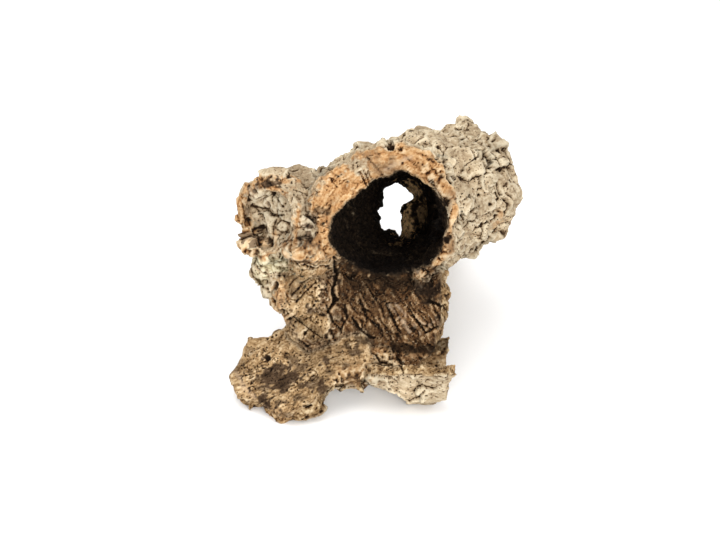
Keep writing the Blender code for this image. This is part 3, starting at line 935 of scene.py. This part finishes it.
# Lumps: x, y, reach, height
LUMPS = [
    (421, 278, 10, 9), (425, 168, 4.5, 3), (432, 177, 4, 3), (462, 122, 8, 3), (290, 250, 7, 4),
    (312, 254, 9, 2), (447, 255, 8, 3), (442, 268, 5, 3), (296, 252, 9, 3), (372, 380, 7, 3),
    (270, 290, 8, 3), (335, 313, 9, 3), (276, 203, 10, 3.5), (282, 226, 6, 3), (300, 305, 14, 2),
    (505, 205, 9, 3), (485, 140, 9, 3), (430, 125, 10, 2.5), (412, 135, 8, 2.5), (270, 262, 12, 3),
    (395, 325, 8, 2), (259, 232, 9, -6), (266, 243, 9, -5), (246, 222, 7, -3), (498, 142, 11, 5),
    (430, 121, 15, 4), (408, 122, 13, 3), (262, 196, 12, 5), (512, 150, 9, 4), (508, 190, 10, 4),
    (296, 250, 12, 3), (316, 256, 10, 2), (249, 249, 10, 5), (252, 261, 11, 5), (259, 272, 9, 4),
    (250, 241, 8, 6), (246, 231, 7, 4), (352, 391, 20, -5), (381, 359, 9, 3), (394, 364, 6, 2.5),
    (248, 164, 9, -3),
]
# Cracks: pixels along them, reach, depth
CRACKS = [
    ([(360, 172), (369, 190)], 1.3, 2.5),
    ([(364, 171), (373, 190)], 1.3, 2.5),
    ([(368, 171), (376, 188)], 1.1, 2.0),
    ([(367, 157), (383, 175)], 1.2, 1.6),
    ([(335, 258), (337, 275), (333, 288), (334, 303), (328, 312)], 2.0, 4.5),
    ([(412, 316), (420, 326), (425, 333), (437, 328)], 1.6, 4.0),
    ([(385, 300), (392, 318), (398, 330)], 1.4, 3.0),
    ([(327, 306), (333, 322), (340, 332)], 1.6, 3.5),
    ([(345, 305), (347, 318), (340, 330)], 1.4, 2.5),
    ([(460, 146), (468, 152), (474, 160)], 1.8, 3.5),
    ([(482, 152), (490, 160), (492, 168)], 2.0, 4.0),
    ([(486, 148), (495, 158), (501, 170)], 1.3, 2.4),
    ([(465, 226), (470, 213), (479, 206)], 1.2, 2.0),
    ([(474, 232), (486, 222), (497, 220)], 1.2, 2.0),
    ([(372, 352), (380, 362), (392, 365)], 1.4, 3.0),
    ([(392, 349), (400, 362), (404, 376)], 1.2, 2.5),
    ([(424, 240), (440, 250), (444, 262)], 1.2, 1.5),
    ([(240, 200), (243, 220), (252, 236)], 1.3, 1.6),
    ([(235, 205), (238, 224), (247, 240)], 1.2, 1.4),
    ([(290, 285), (303, 272), (312, 268)], 1.2, 1.5),
    ([(292, 295), (305, 281), (314, 275)], 1.2, 1.5),
    ([(296, 302), (308, 290), (316, 282)], 1.2, 1.5),
    ([(284, 259), (296, 265), (312, 268), (330, 266), (340, 259)], 2.0, 3.5),
    ([(254, 196), (264, 191), (278, 197), (284, 207)], 1.3, 2.2),
    ([(256, 206), (266, 209), (272, 216), (284, 215)], 1.3, 2.2),
    ([(268, 196), (271, 206)], 1.2, 1.8),
    ([(332, 200), (322, 208), (316, 205)], 1.0, 1.0),
    ([(324, 226), (312, 222), (303, 228)], 1.0, 1.0),
    ([(436, 172), (432, 184)], 1.1, 1.4),
    ([(441, 175), (437, 186)], 1.1, 1.4),
    ([(428, 300), (440, 306), (444, 316)], 1.5, 3.0),
    ([(360, 300), (366, 316), (378, 328)], 1.4, 2.5),
    ([(372, 292), (380, 306), (384, 316)], 1.3, 2.5),
    ([(352, 318), (360, 330), (374, 338)], 1.4, 2.5),
]
# Dark brown stains: x, y, reach, how tall, strength
STAINS = [
    (272, 372, 12, 8, 0.9), (290, 378, 12, 8, 0.85), (282, 384, 14, 9, 0.9), (262, 399, 8, 6, 0.95),
    (266, 406, 6, 4, 0.9), (268, 358, 5, 4, 0.8), (325, 360, 5, 4, 0.8), (322, 388, 9, 8, 0.7),
    (297, 398, 9, 6, 0.6), (300, 368, 8, 6, 0.6), (310, 310, 4, 5, 0.8), (313, 218, 6, 5, 0.9),
    (308, 236, 6, 5, 0.85), (322, 210, 9, 5, 0.6), (447, 201, 5, 4, 0.9), (447, 239, 5, 4, 0.9),
    (260, 238, 10, 6, 0.7), (292, 292, 10, 8, 0.5), (428, 290, 14, 10, 0.7), (333, 282, 5, 14, 0.6),
    (336, 316, 8, 8, 0.5), (440, 322, 8, 7, 0.5), (306, 345, 6, 5, 0.5), (250, 352, 8, 8, 0.4),
    (268, 184, 15, 4, 0.85), (252, 238, 9, 6, 0.8), (264, 230, 8, 6, 0.6), (246, 214, 4, 10, 0.5),
    (284, 241, 5, 3, 0.8), (275, 378, 20, 11, 0.75), (240, 362, 7, 10, 0.4), (318, 382, 12, 9, 0.6),
    (262, 388, 10, 5, 0.5), (292, 360, 9, 7, 0.5), (355, 352, 8, 6, 0.6), (338, 350, 7, 5, 0.4),
    # The stain at 300, 262 is painted shadow under the nub above it
    (285, 415, 14, 4, 0.5), (380, 362, 6, 7, 0.5), (395, 368, 5, 6, 0.5), (300, 262, 16, 2.5, 0.6),
    (318, 213, 9, 3, 0.7), (309, 226, 8, 3, 0.7), (301, 238, 6, 3, 0.7), (283, 367, 5, 4, 0.8),
    (300, 385, 6, 4, 0.7), (258, 380, 5, 4, 0.6), (278, 402, 6, 4, 0.6), (345, 365, 6, 4, 0.6),
    (330, 372, 5, 4, 0.5), (250, 372, 5, 5, 0.5), (362, 340, 8, 5, 0.6), (318, 345, 5, 4, 0.5),
]
# Orange cork where the bark is broken away: x, y, reach, how tall, strength
FRESH = [
    (238, 218, 6, 22, 0.8), (281, 292, 9, 11, 1.0), (277, 308, 8, 12, 1.0), (284, 318, 6, 5, 0.8),
    (450, 305, 5, 16, 0.6), (299, 178, 10, 6, 0.8), (293, 190, 7, 5, 0.7), (275, 237, 4, 8, 0.7),
    (496, 225, 8, 6, 0.6), (500, 215, 5, 5, 0.6), (440, 332, 8, 5, 0.6), (452, 362, 5, 9, 0.9),
    (345, 188, 22, 14, 0.6), (247, 228, 7, 13, 0.75), (259, 241, 12, 6, 0.8), (271, 247, 9, 4, 0.8),
    (240, 207, 5, 15, 0.7), (255, 178, 13, 4, 0.6), (284, 181, 12, 4, 0.8), (422, 277, 8, 9, 0.7),
    (378, 352, 10, 4, 0.6), (350, 383, 14, 5, 0.5), (420, 355, 30, 3, 0.6), (445, 250, 8, 14, 0.8),
    (352, 164, 9, 6, 0.4), (322, 270, 10, 6, 0.4), (350, 372, 16, 7, 0.4), (276, 415, 20, 6, 0.35),
]
# Grey weathered patches: x, y, reach, how tall, strength
GREYS = [
    (357, 165, 14, 8, 0.95), (276, 203, 15, 13, 0.9), (283, 228, 9, 9, 0.85), (362, 172, 8, 6, 0.6),
    (294, 196, 8, 20, 1.0), (312, 188, 8, 9, 0.9), (290, 222, 8, 20, 1.0), (308, 178, 14, 8, 0.9),
    (262, 197, 12, 12, 0.9), (266, 250, 22, 6, 0.7), (240, 245, 8, 12, 0.7),
]
# Pale green lichen: x, y, reach, how tall, strength
LICHENS = [(272, 264, 17, 9, 0.9), (255, 258, 9, 8, 0.6), (262, 278, 10, 7, 0.5), (285, 258, 8, 5, 0.5)]
# Upper left of the apron, which is smooth and tan like the legs: x, y, reach, how tall
SMOOTH_LOBE = [
    (300, 292, 26, 32), (312, 325, 26, 18), (322, 268, 16, 12), (300, 270, 18, 10), (249, 231, 10, 14),
    (263, 243, 13, 6), (243, 215, 5, 16), (383, 361, 13, 14),
]
# Painted shade that runs out of the mouth over the apron: x, y, reach, how tall, strength
SHADES = [
    (378, 268, 44, 12, 0.95), (395, 282, 34, 12, 0.85), (360, 284, 20, 10, 0.7), (428, 292, 13, 13, 0.8),
    (345, 262, 12, 8, 0.6), (427, 350, 28, 6, 0.95), (402, 347, 14, 6, 0.85), (443, 346, 10, 8, 0.8),
    (378, 300, 26, 16, 0.35), (342, 300, 8, 24, 0.4), (380, 335, 40, 10, 0.35),
]
# Painted light on the inner wall where light from behind falls: x, y, reach, how tall, strength
LIT_WALLS = [
    (407, 226, 8, 24, 0.9), (414, 190, 12, 12, 0.9), (428, 178, 12, 9, 0.7), (424, 215, 10, 22, 0.4),
    (396, 244, 10, 7, 0.5),
]
# Painted highlights along ridges and tips: pixels along them, reach, strength
RIDGE_HIGHLIGHTS = [
    ([(388, 305), (400, 318), (410, 332)], 2.2, 0.7),
    ([(395, 303), (408, 318), (420, 334)], 1.8, 0.6),
    ([(415, 318), (426, 326), (434, 322)], 2.0, 0.6),
    ([(385, 170), (400, 162), (412, 156)], 3.0, 0.5),
    ([(418, 270), (424, 280), (420, 289)], 4.5, 0.6),
    ([(250, 190), (260, 195), (270, 204)], 5.0, 0.35),
    ([(236, 372), (246, 390), (255, 398)], 3.0, 0.4),
]
# The patches by the names of their marks
PATCHES = {
    "stain": STAINS,
    "fresh": FRESH,
    "grey": GREYS,
    "lichen": LICHENS,
    "shade": SHADES,
    "lit": LIT_WALLS,
}


def placed_relief(points, tree, ragged):
    """Hollows, lumps and cracks that stand where the photograph has them."""
    height = np.zeros(len(points))
    for x, y, reach, high in LUMPS:
        height += high * spot(points, tree, 0.5 * ragged, x, y, reach)
    for x, y, reach, depth in PITS:
        height -= depth * spot(points, tree, ragged, x, y, reach)
    for pixels, reach, depth in CRACKS:
        height -= depth * line(points, tree, ragged, pixels, reach)
    return height


def placed_marks(points, tree, ragged):
    """Stains, fresh cork, weathered patches, lichen, painted shade, painted light, painted highlights and
    dark cracks, that lie where the photograph has them.
    """
    marks = {}
    for name, table in PATCHES.items():
        total = np.zeros(len(points))
        for x, y, reach, tall, strength in table:
            total = np.maximum(total, strength * spot(points, tree, 1.6 * ragged, x, y, reach, tall))
        marks[name] = total
    # Painted highlights along ridges and tips
    pale = np.zeros(len(points))
    for pixels, reach, strength in RIDGE_HIGHLIGHTS:
        pale = np.maximum(pale, strength * line(points, tree, ragged, pixels, reach))
    marks["pale"] = pale
    # Dark along cracks and in pits, partly their darker cork and partly painted shade in them
    dark = np.zeros(len(points))
    for pixels, reach, _ in CRACKS:
        dark = np.maximum(dark, line(points, tree, ragged, pixels, 1.2 * reach))
    for x, y, reach, _ in PITS:
        dark = np.maximum(dark, spot(points, tree, ragged, x, y, 0.9 * reach))
    marks["crack"] = dark
    return marks


def depth_inside(owner, bore, q):
    """How deep a point lies in the hollow, from 0 at the front mouth to 1 far inside; it is laid on as
    painted shade.
    """
    return bore * np.where(owner == TRUNK_BORE, ramp(q[:, 2], *DUSK), 1.0)


# Materials


def new_material(name):
    """A material, its node tree and its surface node."""
    material = bpy.data.materials.new(name)
    material.use_nodes = True
    tree = material.node_tree
    return material, tree, tree.nodes["Principled BSDF"]


def add(tree, kind, **settings):
    """A new node with these settings."""
    node = tree.nodes.new(kind)
    for key, value in settings.items():
        setattr(node, key, value)
    return node


def wire(tree, target, source):
    """Feeds a socket from another socket, or sets it to a plain value."""
    if isinstance(source, bpy.types.NodeSocket):
        tree.links.new(source, target)
    else:
        target.default_value = source


def mark(tree, name):
    """A value that is kept at each point of the mesh."""
    return add(tree, "ShaderNodeAttribute", attribute_name=name).outputs["Fac"]


def figure(tree, operation, first, second, clamp=False):
    """What comes of one operation on two values."""
    node = add(tree, "ShaderNodeMath", operation=operation, use_clamp=clamp)
    wire(tree, node.inputs[0], first)
    wire(tree, node.inputs[1], second)
    return node.outputs[0]


def plus(tree, first, second, clamp=False):
    """The sum of two values."""
    return figure(tree, "ADD", first, second, clamp)


def times(tree, first, second, clamp=False):
    """The product of two values."""
    return figure(tree, "MULTIPLY", first, second, clamp)


def swing(tree, noise, share):
    """A noise that runs round 0, by that share."""
    return times(tree, figure(tree, "SUBTRACT", noise, 0.5), share)


def speckle(tree, where, scale, detail=4.0, roughness=0.6, distortion=0.0):
    """A chance pattern from 0 to 1."""
    node = add(tree, "ShaderNodeTexNoise")
    wire(tree, node.inputs["Vector"], where)
    node.inputs["Scale"].default_value = scale
    node.inputs["Detail"].default_value = detail
    node.inputs["Roughness"].default_value = roughness
    node.inputs["Distortion"].default_value = distortion
    return node.outputs["Fac"]


def shades(tree, factor, stops):
    """Colours that follow a value, by their stops."""
    node = add(tree, "ShaderNodeValToRGB")
    wire(tree, node.inputs["Fac"], factor)
    ramp_stops = node.color_ramp.elements
    while len(ramp_stops) < len(stops):
        ramp_stops.new(0.5)
    for stop, (place, colour) in zip(ramp_stops, stops):
        stop.position = place
        stop.color = (*colour, 1)
    return node.outputs["Color"]


def levels(tree, factor, *stops):
    """Greys that follow a value, by their stops."""
    return shades(tree, factor, [(place, (grey, grey, grey)) for place, grey in stops])


def mixed(tree, factor, under, over, blend="MIX"):
    """One colour laid over another by a factor."""
    node = add(tree, "ShaderNodeMix", data_type="RGBA", blend_type=blend)
    wire(tree, node.inputs[0], factor)
    wire(tree, node.inputs[6], under if isinstance(under, bpy.types.NodeSocket) else (*under, 1))
    wire(tree, node.inputs[7], over if isinstance(over, bpy.types.NodeSocket) else (*over, 1))
    return node.outputs[2]


def specks(tree, place, patches):
    """Small dark specks, which crowd together in places."""
    cells = add(tree, "ShaderNodeTexVoronoi")
    wire(tree, cells.inputs["Vector"], place)
    cells.inputs["Scale"].default_value = SPECK_SCALE
    round_ones = figure(tree, "LESS_THAN", cells.outputs["Distance"], SPECK_RADIUS)
    return times(tree, round_ones, levels(tree, patches, (0.44, 0.25), (0.6, 1)))


def outer_bark(tree, sizes, place, level, patches):
    """Grey bark with its tint and its warm brown patches."""
    bark = shades(tree, level, BARK_COLOURS)
    bark = mixed(tree, times(tree, patches, 0.5), bark, sizes.bark_tint, "OVERLAY")
    warm = levels(tree, speckle(tree, place, 34.0, 5.0, 0.7, 0.4), (0.5, 0), (0.68, 0.75))
    return mixed(tree, warm, bark, shades(tree, level, WARM_COLOURS))


def cut_rim(tree, place, level):
    """Orange cork of the cut rim, browned in patches."""
    rim = shades(tree, level, RIM_COLOURS)
    browned = levels(tree, speckle(tree, place, 48.0, 4.0), (0.5, 0), (0.62, 1))
    return mixed(tree, browned, rim, mixed(tree, 0.55, rim, BROWNED_RIM))


def dry_surface(tree, sizes, place, level, patches):
    """Bark, rim, fibres and leg where they show, with fresh cork, grey patches, lichen, painted glints and
    painted highlights along ridges.
    """
    bark, rim = outer_bark(tree, sizes, place, level, patches), cut_rim(tree, place, level)
    colour = mixed(tree, mark(tree, "rim"), bark, rim)
    colour = mixed(tree, mark(tree, "edge"), colour, shades(tree, level, EDGE_COLOURS))
    colour = mixed(tree, mark(tree, "leg"), colour, shades(tree, level, LEG_COLOURS))
    colour = mixed(tree, mark(tree, "face"), colour, shades(tree, level, FIBRE_COLOURS))
    # Painted glints, small specks of highlight on the fibres and the legs
    glint = levels(tree, speckle(tree, place, 640.0, 2.0), (0.64, 0), (0.71, 0.7))
    glint = times(tree, glint, plus(tree, mark(tree, "face"), mark(tree, "leg")))
    colour = mixed(tree, glint, colour, GLINT)
    colour = mixed(tree, mark(tree, "fresh"), colour, rim)
    colour = mixed(tree, mark(tree, "grey"), colour, bark)
    colour = mixed(tree, mark(tree, "lichen"), colour, shades(tree, level, LICHEN_COLOURS))
    # Painted highlights along ridges and tips
    return mixed(tree, mark(tree, "pale"), colour, RIDGE_HIGHLIGHT)


def cork_material(sizes):
    """Cork in all its states: grey bark, orange cut rim, dark hollow, brown fibres and tan inner face, with
    painted shade, painted light and painted highlights laid on.
    """
    material, tree, shader = new_material("cork")
    place = add(tree, "ShaderNodeTexCoord").outputs["Object"]
    coarse = speckle(tree, place, 70.0, 5.0, 0.62)
    fine = speckle(tree, place, 420.0, 4.0, 0.65)
    patches = speckle(tree, place, 22.0, 3.0, 0.55)
    streaks = add(tree, "ShaderNodeVectorMath", operation="MULTIPLY")
    wire(tree, streaks.inputs[0], add(tree, "ShaderNodeAttribute", attribute_name="grain").outputs["Vector"])
    streaks.inputs[1].default_value = (1.0, 1.0, 0.16)
    fibres = speckle(tree, streaks.outputs[0], 420.0, 3.0, 0.6)
    # The level mixes the local height with noise; low levels take colours partly painted as shade, high ones
    # partly as highlight
    level = plus(tree, mark(tree, "height"), swing(tree, coarse, 0.5))
    level = plus(tree, level, swing(tree, fine, 0.6))
    level = plus(tree, level, swing(tree, fibres, 0.6))
    speck_depth = figure(tree, "SUBTRACT", 0.6, times(tree, mark(tree, "rim"), 0.5))
    holes = times(tree, specks(tree, place, patches), speck_depth)
    level = figure(tree, "SUBTRACT", level, holes, clamp=True)

    shaded = add(tree, "ShaderNodeVectorMath", operation="SCALE")
    wire(tree, shaded.inputs[0], dry_surface(tree, sizes, place, level, patches))
    wire(tree, shaded.inputs["Scale"], plus(tree, times(tree, patches, 1.1), 0.42))
    # The hollow's colour, with painted light on its walls by the rear hole
    bore = mixed(tree, mark(tree, "lit"), shades(tree, level, BORE_COLOURS), shades(tree, level, LIT_COLOURS))
    colour = mixed(tree, mark(tree, "bore"), shaded.outputs[0], bore)
    blotch = times(tree, mark(tree, "stain"), plus(tree, coarse, 0.6), clamp=True)
    blotch = levels(tree, blotch, (0.15, 0), (0.8, 0.95))
    colour = mixed(tree, blotch, colour, shades(tree, level, STAIN_COLOURS))
    # Cracks and pits darkened, partly their own darker cork and partly painted shade
    colour = mixed(tree, times(tree, mark(tree, "crack"), 0.9), colour, CRACK_AND_SHADE_BROWN)
    # Painted shade that runs out of the mouth over the apron, and in the right leg's gutter
    colour = mixed(tree, times(tree, mark(tree, "shade"), 0.9), colour, CRACK_AND_SHADE_BROWN)
    # Painted shade that darkens the hollow further in
    colour = mixed(tree, times(tree, mark(tree, "deep"), 0.88), colour, HOLLOW_SHADE_BROWN)
    wire(tree, shader.inputs["Base Color"], colour)

    wire(tree, shader.inputs["Roughness"], levels(tree, level, (0.2, 0.98), (0.8, 0.8)))
    shader.inputs["Specular IOR Level"].default_value = 0.07
    bump = add(tree, "ShaderNodeBump")
    bump.inputs["Strength"].default_value = 0.9
    bump.inputs["Distance"].default_value = BUMP_HEIGHT
    wire(tree, bump.inputs["Height"], plus(tree, plus(tree, coarse, times(tree, fine, 1.2)), fibres))
    wire(tree, shader.inputs["Normal"], bump.outputs["Normal"])
    return material


def floor_material():
    """Plain, pale, matt paper."""
    material, tree, shader = new_material("pale_floor")
    place = add(tree, "ShaderNodeTexCoord").outputs["Object"]
    tone = levels(tree, speckle(tree, place, 900.0, 2.0), (0.3, 0.93), (0.7, 0.96))
    wire(tree, shader.inputs["Base Color"], tone)
    shader.inputs["Roughness"].default_value = 0.95
    return material


# Pieces


def write_marks(mesh, marks, grain, index):
    """Keeps the marks and the direction of the grain at each point of a piece."""
    for name, values in marks.items():
        attribute = mesh.attributes.new(name, "FLOAT", "POINT")
        attribute.data.foreach_set("value", values[index].astype(np.float32))
    vectors = (grain[index] * MM).astype(np.float32).ravel()
    mesh.attributes.new("grain", "FLOAT_VECTOR", "POINT").data.foreach_set("vector", vectors)


def space_past(name):
    """The space past all cuts of a fork."""
    blocks = [block(point, way) for point, way in FORKS[name]]
    for other in blocks[1:]:
        cut(blocks[0], other, "INTERSECT")
    return blocks[0]


def branch_body(sizes):
    """The grown branch, which is made once and then split."""
    if "body" not in GROWN:
        GROWN["body"] = grown_branch(sizes.detail / MM)
        GROWN["material"] = cork_material(sizes)
    return GROWN["body"]


def piece_of(sizes, name):
    """Splits the branch at a fork and dresses what lies past it. The trunk is what is left."""
    piece = body = branch_body(sizes)
    if name in FORKS:
        piece = placed(name, body.data.copy())
        cut(piece, space_past(name), "INTERSECT")
        cut(body, space_past(name))
    piece.name = piece.data.name = name + "_bark"
    mesh = piece.data
    index = np.array([GROWN["tree"].find(p)[1] for p in points_of(mesh).tolist()])
    write_marks(mesh, GROWN["marks"], GROWN["grain"], index)
    mesh.transform(Matrix.Translation(-MIDDLE * MM))
    mesh.shade_smooth()
    mesh.normals_split_custom_set_from_vertices(GROWN["normals"][index].tolist())
    mesh.materials.clear()
    mesh.materials.append(GROWN["material"])
    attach(piece, "root")
    node = "trunk" if name == "apron" else name
    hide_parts(node)


# Stage


FLOOR_REACH = 6.0  # metres from its middle to its edge


def lamp(name, place, target, size, power):
    """A soft round light that shines from its place at a target."""
    light = bpy.data.lights.new(name, "AREA")
    light.shape = "DISK"
    light.size = size
    light.energy = power
    made = placed(name, light)
    made.location = place
    made.rotation_euler = (Vector(target) - Vector(place)).to_track_quat("-Z", "Y").to_euler()


def make_stage(sizes):
    """Floor, even light, two soft lamps and the camera."""
    shape = bmesh.new()
    bmesh.ops.create_grid(shape, x_segments=8, y_segments=8, size=FLOOR_REACH)
    floor = shaped("floor", shape)
    floor.data.materials.append(floor_material())
    world = bpy.data.worlds.new("studio")
    world.use_nodes = True
    background = world.node_tree.nodes["Background"]
    background.inputs["Color"].default_value = (1, 1, 1, 1)
    background.inputs["Strength"].default_value = sizes.room_light
    bpy.context.scene.world = world
    lamp("top_light", (-0.3, -0.2, 1.7), (0, 0, 0.1), 1.5, sizes.top_light)
    lamp("front_light", (0.15, -1.5, 0.75), (0, 0, 0.12), 0.8, sizes.front_light)
    camera = bpy.data.cameras.new("camera")
    camera.sensor_width = SENSOR_WIDTH
    camera.lens = LENS
    eye = placed("camera", camera)
    eye.matrix_world = Matrix(np.column_stack([RIGHTWARD, UPWARD, -INWARD]).tolist()).to_4x4()
    eye.location = (CAMERA - MIDDLE) * MM
    bpy.context.scene.camera = eye
    bpy.context.scene.view_settings.view_transform = "Standard"


# Add-on


class BranchSizes(bpy.types.PropertyGroup):
    detail: bpy.props.FloatProperty(
        name="Detail",
        description="Size of the finest facets",
        default=0.00142,
        min=0.001,
        max=0.01,
        unit="LENGTH",
    )
    bark_tint: bpy.props.FloatVectorProperty(
        name="Bark tint",
        description="Colour laid over the grey outer bark",
        default=(0.5, 0.46, 0.4),
        subtype="COLOR",
    )


class StageSizes(bpy.types.PropertyGroup):
    room_light: bpy.props.FloatProperty(
        name="Room light",
        description="Strength of the even light",
        default=1.07,
    )
    top_light: bpy.props.FloatProperty(
        name="Top light",
        description="Power of the soft light above",
        default=12.0,
    )
    front_light: bpy.props.FloatProperty(
        name="Front light",
        description="Power of the soft light in front",
        default=14.0,
    )


class OBJECT_OT_right_leg(bpy.types.Operator):
    """Adds the right leg, a gutter of bark with an orange cut rim"""

    bl_idname = "cork_branch.right_leg"
    bl_label = "Right leg"
    bl_options = {"REGISTER", "UNDO"}

    def execute(self, context):
        piece_of(context.scene.cork_branch, "right_leg")
        return {"FINISHED"}


class OBJECT_OT_left_leg(bpy.types.Operator):
    """Adds the left leg, a sheet of bark that shows its mottled inner face"""

    bl_idname = "cork_branch.left_leg"
    bl_label = "Left leg"
    bl_options = {"REGISTER", "UNDO"}

    def execute(self, context):
        piece_of(context.scene.cork_branch, "left_leg")
        return {"FINISHED"}


class OBJECT_OT_knot_stub(bpy.types.Operator):
    """Adds the knot stub with its layered lip and the grey plates in its cup"""

    bl_idname = "cork_branch.knot_stub"
    bl_label = "Knot stub"
    bl_options = {"REGISTER", "UNDO"}

    def execute(self, context):
        piece_of(context.scene.cork_branch, "knot_stub")
        return {"FINISHED"}


class OBJECT_OT_right_branch(bpy.types.Operator):
    """Adds the raised right branch with its rugged grey bark"""

    bl_idname = "cork_branch.right_branch"
    bl_label = "Right branch"
    bl_options = {"REGISTER", "UNDO"}

    def execute(self, context):
        piece_of(context.scene.cork_branch, "right_branch")
        return {"FINISHED"}


class OBJECT_OT_rear_branch(bpy.types.Operator):
    """Adds the rear branch, which slopes down to the floor"""

    bl_idname = "cork_branch.rear_branch"
    bl_label = "Rear branch"
    bl_options = {"REGISTER", "UNDO"}

    def execute(self, context):
        piece_of(context.scene.cork_branch, "rear_branch")
        return {"FINISHED"}


class OBJECT_OT_apron(bpy.types.Operator):
    """Adds the apron, the fibrous sheet of bark below the mouth"""

    bl_idname = "cork_branch.apron"
    bl_label = "Apron"
    bl_options = {"REGISTER", "UNDO"}

    def execute(self, context):
        piece_of(context.scene.cork_branch, "apron")
        return {"FINISHED"}


class OBJECT_OT_trunk(bpy.types.Operator):
    """Adds the trunk with its wide mouth and orange cut rim"""

    bl_idname = "cork_branch.trunk"
    bl_label = "Trunk"
    bl_options = {"REGISTER", "UNDO"}

    def execute(self, context):
        piece_of(context.scene.cork_branch, "trunk")
        return {"FINISHED"}


class OBJECT_OT_stage(bpy.types.Operator):
    """Adds the pale floor, the soft lights and the camera"""

    bl_idname = "cork_branch.stage"
    bl_label = "Stage"
    bl_options = {"REGISTER", "UNDO"}

    def execute(self, context):
        make_stage(context.scene.cork_stage)
        return {"FINISHED"}


OPERATORS = (
    OBJECT_OT_right_leg,
    OBJECT_OT_left_leg,
    OBJECT_OT_knot_stub,
    OBJECT_OT_right_branch,
    OBJECT_OT_rear_branch,
    OBJECT_OT_apron,
    OBJECT_OT_trunk,
    OBJECT_OT_stage,
)


class VIEW3D_PT_cork_branch(bpy.types.Panel):
    bl_label = "Cork Branch"
    bl_idname = "VIEW3D_PT_cork_branch"
    bl_space_type = "VIEW_3D"
    bl_region_type = "UI"
    bl_category = "Cork Branch"

    def draw(self, context):
        for group in (context.scene.cork_branch, context.scene.cork_stage):
            for name in type(group).__annotations__:
                self.layout.prop(group, name)
        for operator in OPERATORS:
            self.layout.operator(operator.bl_idname)


CLASSES = (BranchSizes, StageSizes, *OPERATORS, VIEW3D_PT_cork_branch)


def register():
    for one in CLASSES:
        bpy.utils.register_class(one)
    bpy.types.Scene.cork_branch = bpy.props.PointerProperty(type=BranchSizes)
    bpy.types.Scene.cork_stage = bpy.props.PointerProperty(type=StageSizes)


def unregister():
    del bpy.types.Scene.cork_stage
    del bpy.types.Scene.cork_branch
    for one in reversed(CLASSES):
        bpy.utils.unregister_class(one)


def main():
    register()
    for operator in OPERATORS:
        group, name = operator.bl_idname.split(".")
        getattr(getattr(bpy.ops, group), name)()


if __name__ == "__main__":
    main()
